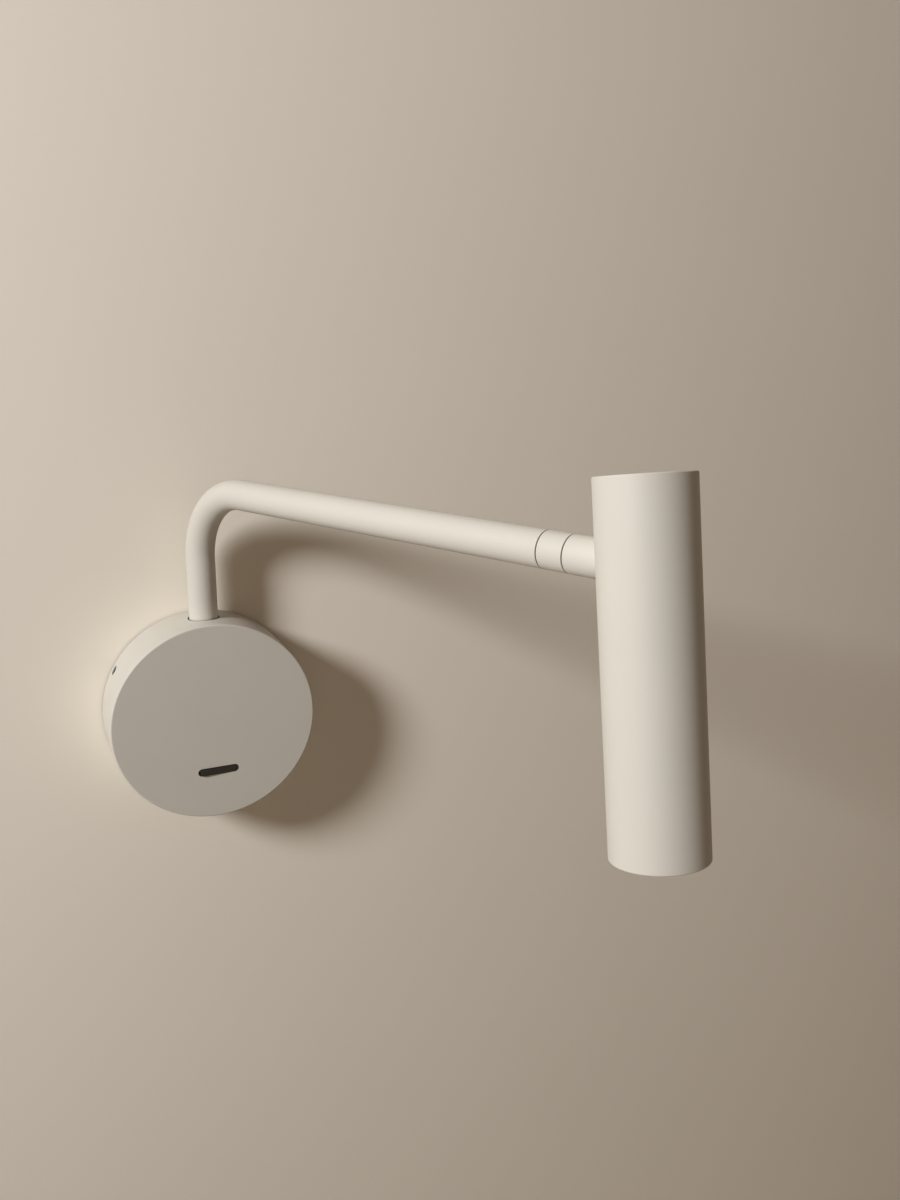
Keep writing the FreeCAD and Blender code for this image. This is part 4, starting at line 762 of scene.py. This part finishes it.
class LAMP_OT_arm_tube(bpy.types.Operator):
    """Arm bent from one tube: upright part, bend and the long level part"""

    bl_idname = "lamp.arm_tube"
    bl_label = "Arm tube"

    def execute(self, context):
        bend_start = ELBOW.z - BEND_RADIUS
        bpy.ops.object.select_all(action="DESELECT")
        bpy.ops.mesh.primitive_circle_add(vertices=EVEN_STEPS, radius=TUBE_RADIUS)
        tube = named("bent_arm_tube")
        bpy.ops.object.mode_set(mode="EDIT")
        bpy.ops.mesh.select_all(action="SELECT")
        bpy.ops.transform.translate(value=(0, 0, TUBE_FOOT))
        rise = {"value": (0, 0, bend_start - TUBE_FOOT)}
        bpy.ops.mesh.extrude_region_move(TRANSFORM_OT_translate=rise)
        bpy.ops.mesh.spin(steps=BEND_STEPS, angle=-QUARTER, center=(BEND_RADIUS, 0, bend_start),
                          axis=(0, 1, 0))
        run = {"value": (TUBE_END - BEND_RADIUS, 0, 0)}
        bpy.ops.mesh.extrude_region_move(TRANSFORM_OT_translate=run)
        close(tube)
        wall = tube.modifiers.new("wall", "SOLIDIFY")
        wall.thickness = TUBE_WALL
        wall.offset = -1
        wall.use_even_offset = True
        select_only(tube)
        bpy.ops.object.modifier_apply(modifier=wall.name)
        bpy.ops.object.mode_set(mode="EDIT")
        rim = TUBE_RADIUS - TUBE_WALL / 4

        def on_rim(point):
            """Whether a point lies on the outer edge of the arm's far end."""
            off_axis = math.hypot(point.co.y, point.co.z - ELBOW.z)
            return point.co.x > TUBE_END - HAIR and off_axis > rim

        choose(tube, "EDGE", lambda edge: all(on_rim(point) for point in edge.verts))
        bpy.ops.mesh.bevel(offset=context.scene.lamp_sizes.edge_round, segments=3, affect="EDGES")
        bpy.ops.object.mode_set(mode="OBJECT")
        deliver(tube, ARM, "arm", powder_coat(), "white_powder_coat", "arm_tube")
        return {"FINISHED"}


class LAMP_OT_swivel(bpy.types.Operator):
    """Short ring between the two seams, and the dark discs that show in the seams"""

    bl_idname = "lamp.swivel"
    bl_label = "Swivel ring and seams"

    def execute(self, context):
        edge = context.scene.lamp_sizes.edge_round
        discs = (("first_seam", "seam_gasket"), ("second_seam", "swivel_friction_disc"))
        for name, cad_node in discs:
            start, end = span(cad_node, ALONG, ELBOW)
            disc = turned(name, [
                (SEAM_BORE, start, 0), (SEAM_RADIUS, start, 0), (SEAM_RADIUS, end, 0),
                (SEAM_BORE, end, 0),
            ])
            if cad_node == "swivel_friction_disc":
                combine(disc, "DIFFERENCE",
                        rod(STOP_PIN_RADIUS, 4 * MM, (0, STOP_PIN_PLACE, end), sides=TOOL_STEPS))
            deliver(disc, LINE, "arm", friction_disc(), "dark_friction_disc", cad_node)
        collar = turned("swivel_collar", [
            (SEAM_BORE, RING_START, 0),
            (TUBE_RADIUS, RING_START, edge),
            (TUBE_RADIUS, RING_END, edge),
            (SEAM_BORE, RING_END, 0),
        ])
        pin_place = (0, STOP_PIN_PLACE, RING_END)
        combine(collar, "DIFFERENCE",
                rod(STOP_PIN_RADIUS, 2 * STOP_PIN_REACH, pin_place, sides=TOOL_STEPS))
        deliver(collar, LINE, "arm", powder_coat(), "white_powder_coat", "swivel_ring")
        return {"FINISHED"}


class LAMP_OT_neck(bpy.types.Operator):
    """Sleeve that carries on the line of the arm into the head, and the tongue in its end"""

    bl_idname = "lamp.neck"
    bl_label = "Neck"

    def execute(self, context):
        flange = SLEEVE_START + NECK_FLANGE - 2 * HAIR  # clear of the spring washer on it
        sleeve = turned("neck_tube", [
            (SEAM_BORE, SLEEVE_START, 0),
            (TUBE_RADIUS, SLEEVE_START, context.scene.lamp_sizes.edge_round),
            (TUBE_RADIUS, SLEEVE_END - NECK_CHAMFER, 0.1 * MM),
            (TUBE_RADIUS - NECK_CHAMFER, SLEEVE_END, 0.1 * MM),
            (NECK_CAVITY, SLEEVE_END, 0),
            (NECK_CAVITY, flange, 0),
            (SEAM_BORE, flange, 0),
        ])
        outer = STOP_PIN_PLACE + STOP_PIN_RADIUS + GROOVE_GAP
        inner = STOP_PIN_PLACE - STOP_PIN_RADIUS - GROOVE_GAP
        bottom = SLEEVE_START + STOP_PIN_REACH + GROOVE_BOTTOM
        groove = turned("groove_tool", [
            (inner, SLEEVE_START - MM, 0), (outer, SLEEVE_START - MM, 0), (outer, bottom, 0),
            (inner, bottom, 0),
        ], steps=GROOVE_STEPS)
        stop = bar("stop_tool", STOP_WEB, 4 * STOP_PIN_RADIUS, 6 * MM,
                   (0, -STOP_PIN_PLACE, SLEEVE_START))
        combine(groove, "DIFFERENCE", stop)
        combine(sleeve, "DIFFERENCE", groove)
        deliver(sleeve, NECK, "neck", powder_coat(), "white_powder_coat", "neck_sleeve")

        tongue = turned("head_tongue", [
            (0, TONGUE_START, 0),
            (NECK_CAVITY - HAIR, TONGUE_START, 0.2 * MM),
            (NECK_CAVITY - HAIR, SLEEVE_END - 2 * HAIR, 0.2 * MM),
            (0, SLEEVE_END - 2 * HAIR, 0),
        ])
        length = -SLEEVE_END + BLADE_LAP
        blade = bar("blade_tool", TONGUE_WIDTH, TONGUE_HEIGHT, length,
                    (0, 0, SLEEVE_END - BLADE_LAP + length / 2), 0.25 * MM)
        eye = rod(TONGUE_END, TONGUE_WIDTH - 2 * HAIR, (0, 0, 0), (0, QUARTER, 0))
        combine(tongue, "UNION", blade, eye)
        pin_way = rod(EYE_BORE, 2 * TONGUE_WIDTH, (0, 0, 0), (0, QUARTER, 0), sides=SMALL_STEPS)
        way_length = -WIRE_WAY_END - TONGUE_START + MM
        way = rod(WIRE_WAY, way_length, (0, 0, TONGUE_START - MM + way_length / 2), sides=TOOL_STEPS)
        leave = rod(WIRE_WAY, TONGUE_HEIGHT, (0, TONGUE_HEIGHT / 2, -WIRE_WAY_END),
                    (QUARTER, 0, 0), sides=TOOL_STEPS)
        combine(tongue, "DIFFERENCE", pin_way, way, leave)
        deliver(tongue, NECK, "neck", powder_coat(), "white_powder_coat", "neck_tongue")
        return {"FINISHED"}


class LAMP_OT_head(bpy.types.Operator):
    """Head tube with the slot for the neck, its end cap and the screw that holds it"""

    bl_idname = "lamp.head"
    bl_label = "Head"

    def execute(self, context):
        rounding = context.scene.lamp_sizes.head_round
        bore = HEAD_RADIUS - HEAD_WALL
        shell = turned("head_tube", [
            (bore, HEAD_FOOT, 0.2 * MM),
            (HEAD_RADIUS, HEAD_FOOT, rounding),
            (HEAD_RADIUS, HEAD_TOP, rounding),
            (bore, HEAD_TOP, 0.15 * MM),
        ])
        swing = HEAD_RADIUS * math.tan(TILT_LIMIT) + TUBE_RADIUS / math.cos(TILT_LIMIT) - TUBE_RADIUS
        slot_width = 2 * (TUBE_RADIUS + SLOT_GAP)
        slot_depth = HEAD_RADIUS / 2 + HEAD_WALL
        slot = bar("slot_tool", slot_width + 2 * swing, slot_width, slot_depth,
                   (0, 0, slot_depth / 2), NEARLY_HALF * slot_width)
        outside = Matrix.Translation((-HEAD_RADIUS - HEAD_WALL, 0, 0))
        laid(slot, outside @ Matrix.Rotation(QUARTER, 4, "Y"))
        sink = turned("sink_tool", [
            (0, -HEAD_WALL, 0),
            (COUNTERSINK, -HEAD_WALL, 0),
            (COUNTERSINK, 0, 0),
            (SHANK_RADIUS, COUNTERSINK - SHANK_RADIUS, 0),
            (SHANK_RADIUS, 2 * HEAD_WALL, 0),
            (0, 2 * HEAD_WALL, 0),
        ], steps=SMALL_STEPS)
        inwards = Matrix.Translation((-HEAD_RADIUS, 0, SCREW_LEVEL)) @ Matrix.Rotation(QUARTER, 4, "Y")
        laid(sink, inwards)
        combine(shell, "DIFFERENCE", slot, sink)
        deliver(shell, HEAD, "head", powder_coat(), "white_powder_coat", "head_shell")

        cap = turned("head_cap", [
            (0, HEAD_TOP, 0),
            (CAP_RADIUS, HEAD_TOP, 0.2 * MM),
            (CAP_RADIUS, CAP_FOOT, 0.2 * MM),
            (0, CAP_FOOT, 0),
        ])
        deliver(cap, HEAD, "head", powder_coat(), "white_powder_coat", "head_end_cap")

        top = SCREW_HEAD + HEAD_RADIUS
        tip = SCREW_TIP + HEAD_RADIUS
        screw = turned("head_screw", [
            (0, top, 0),
            (COUNTERSINK - top, top, 0.1 * MM),
            (SHANK_RADIUS, COUNTERSINK - SHANK_RADIUS, 0.1 * MM),
            (SHANK_RADIUS, tip, 0.3 * MM),
            (0, tip, 0),
        ], steps=SMALL_STEPS)
        combine(screw, "DIFFERENCE",
                rod(SOCKET_FLATS / math.sqrt(3), 2 * SOCKET_DEPTH, (0, 0, top), sides=6))
        laid(screw, inwards)
        deliver(screw, HEAD, "head", black_oxide(), "black_screw", "head_fixing_screw")
        return {"FINISHED"}


class LAMP_OT_light_end(bpy.types.Operator):
    """Reflector, frosted lens and the ring that holds the lens in the mouth of the head"""

    bl_idname = "lamp.light_end"
    bl_label = "Light end"

    def execute(self, context):
        bore = HEAD_RADIUS - HEAD_WALL - TRIM_WIDTH
        outside = HEAD_RADIUS - HEAD_WALL
        ring = turned("lens_trim", [
            (bore, TRIM_FOOT, 0.35 * MM),
            (outside, TRIM_FOOT, 0.15 * MM),
            (outside, TRIM_TOP, 0),
            (bore, TRIM_TOP, 0.2 * MM),
        ])
        deliver(ring, HEAD, "head", powder_coat(), "white_powder_coat", "lens_ring")

        lens = turned("frosted_lens_disc", [
            (0, LENS_TOP, 0),
            (LENS_RADIUS, LENS_TOP, 0.3 * MM),
            (LENS_RADIUS, LENS_FOOT, 0.3 * MM),
            (0, LENS_FOOT, 0),
        ])
        deliver(lens, HEAD, "head", frosted_acrylic(), "frosted_lens", "lens")

        throat = THROAT_RADIUS + CONE_WALL
        cone = turned("reflector_cup", [
            (THROAT_RADIUS, CONE_TOP, 0),
            (throat, CONE_TOP, 0.2 * MM),
            (throat, CONE_TOP - CONE_COLLAR, 0),
            (CONE_MOUTH + CONE_WALL / 2, CONE_FOOT + CONE_RIM, 0),
            (LENS_RADIUS, CONE_FOOT + CONE_RIM, 0.2 * MM),
            (LENS_RADIUS, CONE_FOOT, 0.2 * MM),
            (CONE_MOUTH, CONE_FOOT, 0.2 * MM),
        ])
        deliver(cone, HEAD, "head", metallised(), "bright_reflector", "reflector")
        return {"FINISHED"}


class LAMP_OT_rocker(bpy.types.Operator):
    """Slim black rocker of the switch, low in the face of the base"""

    bl_idname = "lamp.rocker"
    bl_label = "Rocker"

    def execute(self, context):
        depth = ROCKER_FRONT - ROCKER_BACK
        place = (0, 0, (ROCKER_FRONT + ROCKER_BACK) / 2)
        rocker = bar("rocker_key", ROCKER_LENGTH, ROCKER_WIDTH, depth, place,
                     NEARLY_HALF * ROCKER_WIDTH)
        bpy.ops.object.mode_set(mode="EDIT")
        front = ROCKER_FRONT - HAIR
        choose(rocker, "EDGE", lambda edge: all(point.co.z > front for point in edge.verts))
        bpy.ops.mesh.bevel(offset=context.scene.lamp_sizes.rocker_round, segments=4, affect="EDGES",
                           clamp_overlap=True)
        bpy.ops.object.mode_set(mode="OBJECT")
        pin_way = rod(PIVOT_PIN_RADIUS, 2 * ROCKER_WIDTH, (0, 0, 0), (QUARTER, 0, 0), sides=TOOL_STEPS)
        combine(rocker, "DIFFERENCE", pin_way)
        deliver(rocker, ROCKER, "rocker", moulded_black(), "black_plastic", "switch_rocker")
        return {"FINISHED"}


class LAMP_OT_grommet(bpy.types.Operator):
    """Rubber grommet in the cable entry of the wall plate"""

    bl_idname = "lamp.grommet"
    bl_label = "Cable grommet"

    def execute(self, context):
        outer = GROMMET_LIP - GROMMET_WALL
        inner = outer - GROMMET_WALL
        grommet = turned("entry_grommet", [
            (inner, 0, 0.4 * MM),
            (outer - HAIR, 0, 0.1 * MM),
            (outer - HAIR, PLATE_THICKNESS + HAIR, 0),
            (GROMMET_LIP, PLATE_THICKNESS + HAIR, 0.2 * MM),
            (GROMMET_LIP, GROMMET_FRONT, 0.5 * MM),
            (inner, GROMMET_FRONT, 0.4 * MM),
        ], steps=EVEN_STEPS)
        deliver(grommet, BASE, "base", soft_rubber(), "black_rubber", "cable_grommet")
        return {"FINISHED"}


class LAMP_OT_fittings(bpy.types.Operator):
    """Finishes of the plate, the bearing, the screws and all else that keeps its CAD shape"""

    bl_idname = "lamp.fittings"
    bl_label = "Fittings"

    def execute(self, context):
        finishes = (
            (zinc_plate(), ("wall_plate", "earth_screw", "terminal_screws", "bearing_block_screws",
                            "arm_stop_plate", "arm_stop_pin", "arm_spring_washer", "arm_lock_nut",
                            "swivel_stop_pin", "swivel_bolt", "swivel_spring_washer", "tilt_yoke",
                            "tilt_pin", "yoke_screws", "board_screws", "switch_screws",
                            "switch_pivot_pin")),
            (cast_zinc(), ("arm_bearing_block",)),
            (turned_brass(), ("arm_foot_insert", "arm_end_plug", "switch_tabs")),
            (natural_nylon(), ("arm_thrust_washer", "arm_friction_washer", "tilt_friction_washers",
                               "terminal_block")),
            (moulded_black(), ("switch_housing",)),
            (white_casing(), ("led_driver",)),
            (foam_tape(), ("driver_tape",)),
            (mill_aluminium(), ("heat_sink", "led_board")),
            (phosphor(), ("led_chip",)),
        )
        for material, names in finishes:
            for name in names:
                fitting = NODES[name]
                fitting.data.materials.clear()
                fitting.data.materials.append(material)
        return {"FINISHED"}


class LAMP_OT_stage(bpy.types.Operator):
    """Plain wall and floor, soft studio light, and the camera at the photograph's angle"""

    bl_idname = "lamp.stage"
    bl_label = "Stage"

    def execute(self, context):
        wall = turned("stage_wall", [(WALL_HOLE, 0, 0), (WALL_REACH, 0, 0)], steps=EVEN_STEPS)
        laid(wall, axes(RIGHT, UP, OUT, Vector((0, WALL_GAP, 0))))
        bpy.ops.object.select_all(action="DESELECT")
        bpy.ops.mesh.primitive_plane_add(size=2 * WALL_REACH, location=(0, 0, FLOOR_LEVEL))
        floor = named("stage_floor")
        wall.data.materials.append(room_paint("Emulsion paint, rolled", WALL_GAIN))
        floor.data.materials.append(room_paint("Floor paint, rolled", FLOOR_GAIN))

        scene = context.scene
        scene.view_settings.view_transform = "Standard"
        world = bpy.data.worlds.new("Pale room")
        world.use_nodes = True
        world.node_tree.nodes.clear()
        air = world.node_tree
        room = add(air, "ShaderNodeBackground", {"Color": linear("#FFDEC0"), "Strength": 0.11})
        backdrop = add(air, "ShaderNodeBackground", {"Color": linear("#DDD6CC"), "Strength": 0.55})
        shown = add(air, "ShaderNodeMixShader",
                    {"Fac": seen_directly(air), 1: room.outputs["Background"],
                     2: backdrop.outputs["Background"]})
        add(air, "ShaderNodeOutputWorld", {"Surface": shown.outputs["Shader"]})
        scene.world = world

        lamps = (  # name, direction from the lamp, distance, size, watts, colour
            ("Key light", (-0.817, -0.343, 0.463), 1.4, 0.34, 15.6, "#FFFFFF"),
            ("Front fill", (-0.3, -1.0, 0.1), 2.5, 2.0, 1.0, "#FFDEC0"),
        )
        for name, direction, distance, size, power, colour in lamps:
            place = LAMP_MIDDLE + distance * Vector(direction).normalized()
            bpy.ops.object.light_add(type="AREA", location=place)
            lamp = context.object
            lamp.name = name
            lamp.data.shape = "DISK"
            lamp.data.size = size
            lamp.data.energy = power
            lamp.data.color = linear(colour)[:3]
            aim = LAMP_MIDDLE - place
            lamp.rotation_euler = aim.to_track_quat("-Z", "Y").to_euler()

        yaw, pitch, roll = 0.43256, -0.25671, 0.0069
        ahead = Vector((math.sin(yaw) * math.cos(pitch), math.cos(yaw) * math.cos(pitch),
                        math.sin(pitch)))
        level = Vector((math.cos(yaw), -math.sin(yaw), 0))
        above = level.cross(ahead)
        across = math.cos(roll) * level + math.sin(roll) * above
        upwards = math.cos(roll) * above - math.sin(roll) * level
        bpy.ops.object.camera_add()
        camera = context.object
        camera.name = "Camera"
        eye = Vector((-0.093754, -0.508971, 0.187480))
        camera.matrix_world = axes(across, upwards, -ahead, eye)
        camera.data.sensor_width = 36
        camera.data.lens = 30.678
        camera.data.clip_start = 0.01
        scene.camera = camera
        return {"FINISHED"}


PIECES = (
    LAMP_OT_base_cover, LAMP_OT_side_screws, LAMP_OT_rim_bush, LAMP_OT_arm_tube, LAMP_OT_swivel,
    LAMP_OT_neck, LAMP_OT_head, LAMP_OT_light_end, LAMP_OT_rocker, LAMP_OT_grommet,
    LAMP_OT_fittings, LAMP_OT_stage,
)


class LAMP_PT_pieces(bpy.types.Panel):
    """Lists the sizes, the colours and the pieces in the 3D view's sidebar"""

    bl_idname = "LAMP_PT_pieces"
    bl_label = "Reading lamp"
    bl_space_type = "VIEW_3D"
    bl_region_type = "UI"
    bl_category = "Reading lamp"

    def draw(self, context):
        for group in (context.scene.lamp_sizes, context.scene.lamp_colours):
            for name in group.__annotations__:
                self.layout.prop(group, name)
        for piece in PIECES:
            self.layout.operator(piece.bl_idname)


CLASSES = (LampSizes, LampColours, *PIECES, LAMP_PT_pieces)


def register():
    for item in CLASSES:
        bpy.utils.register_class(item)
    bpy.types.Scene.lamp_sizes = bpy.props.PointerProperty(type=LampSizes)
    bpy.types.Scene.lamp_colours = bpy.props.PointerProperty(type=LampColours)


def unregister():
    del bpy.types.Scene.lamp_colours
    del bpy.types.Scene.lamp_sizes
    for item in reversed(CLASSES):
        bpy.utils.unregister_class(item)


def main():
    """Build every piece in order."""
    register()
    for piece in PIECES:
        group, name = piece.bl_idname.split(".")
        getattr(getattr(bpy.ops, group), name)()


if __name__ == "__main__":
    main()
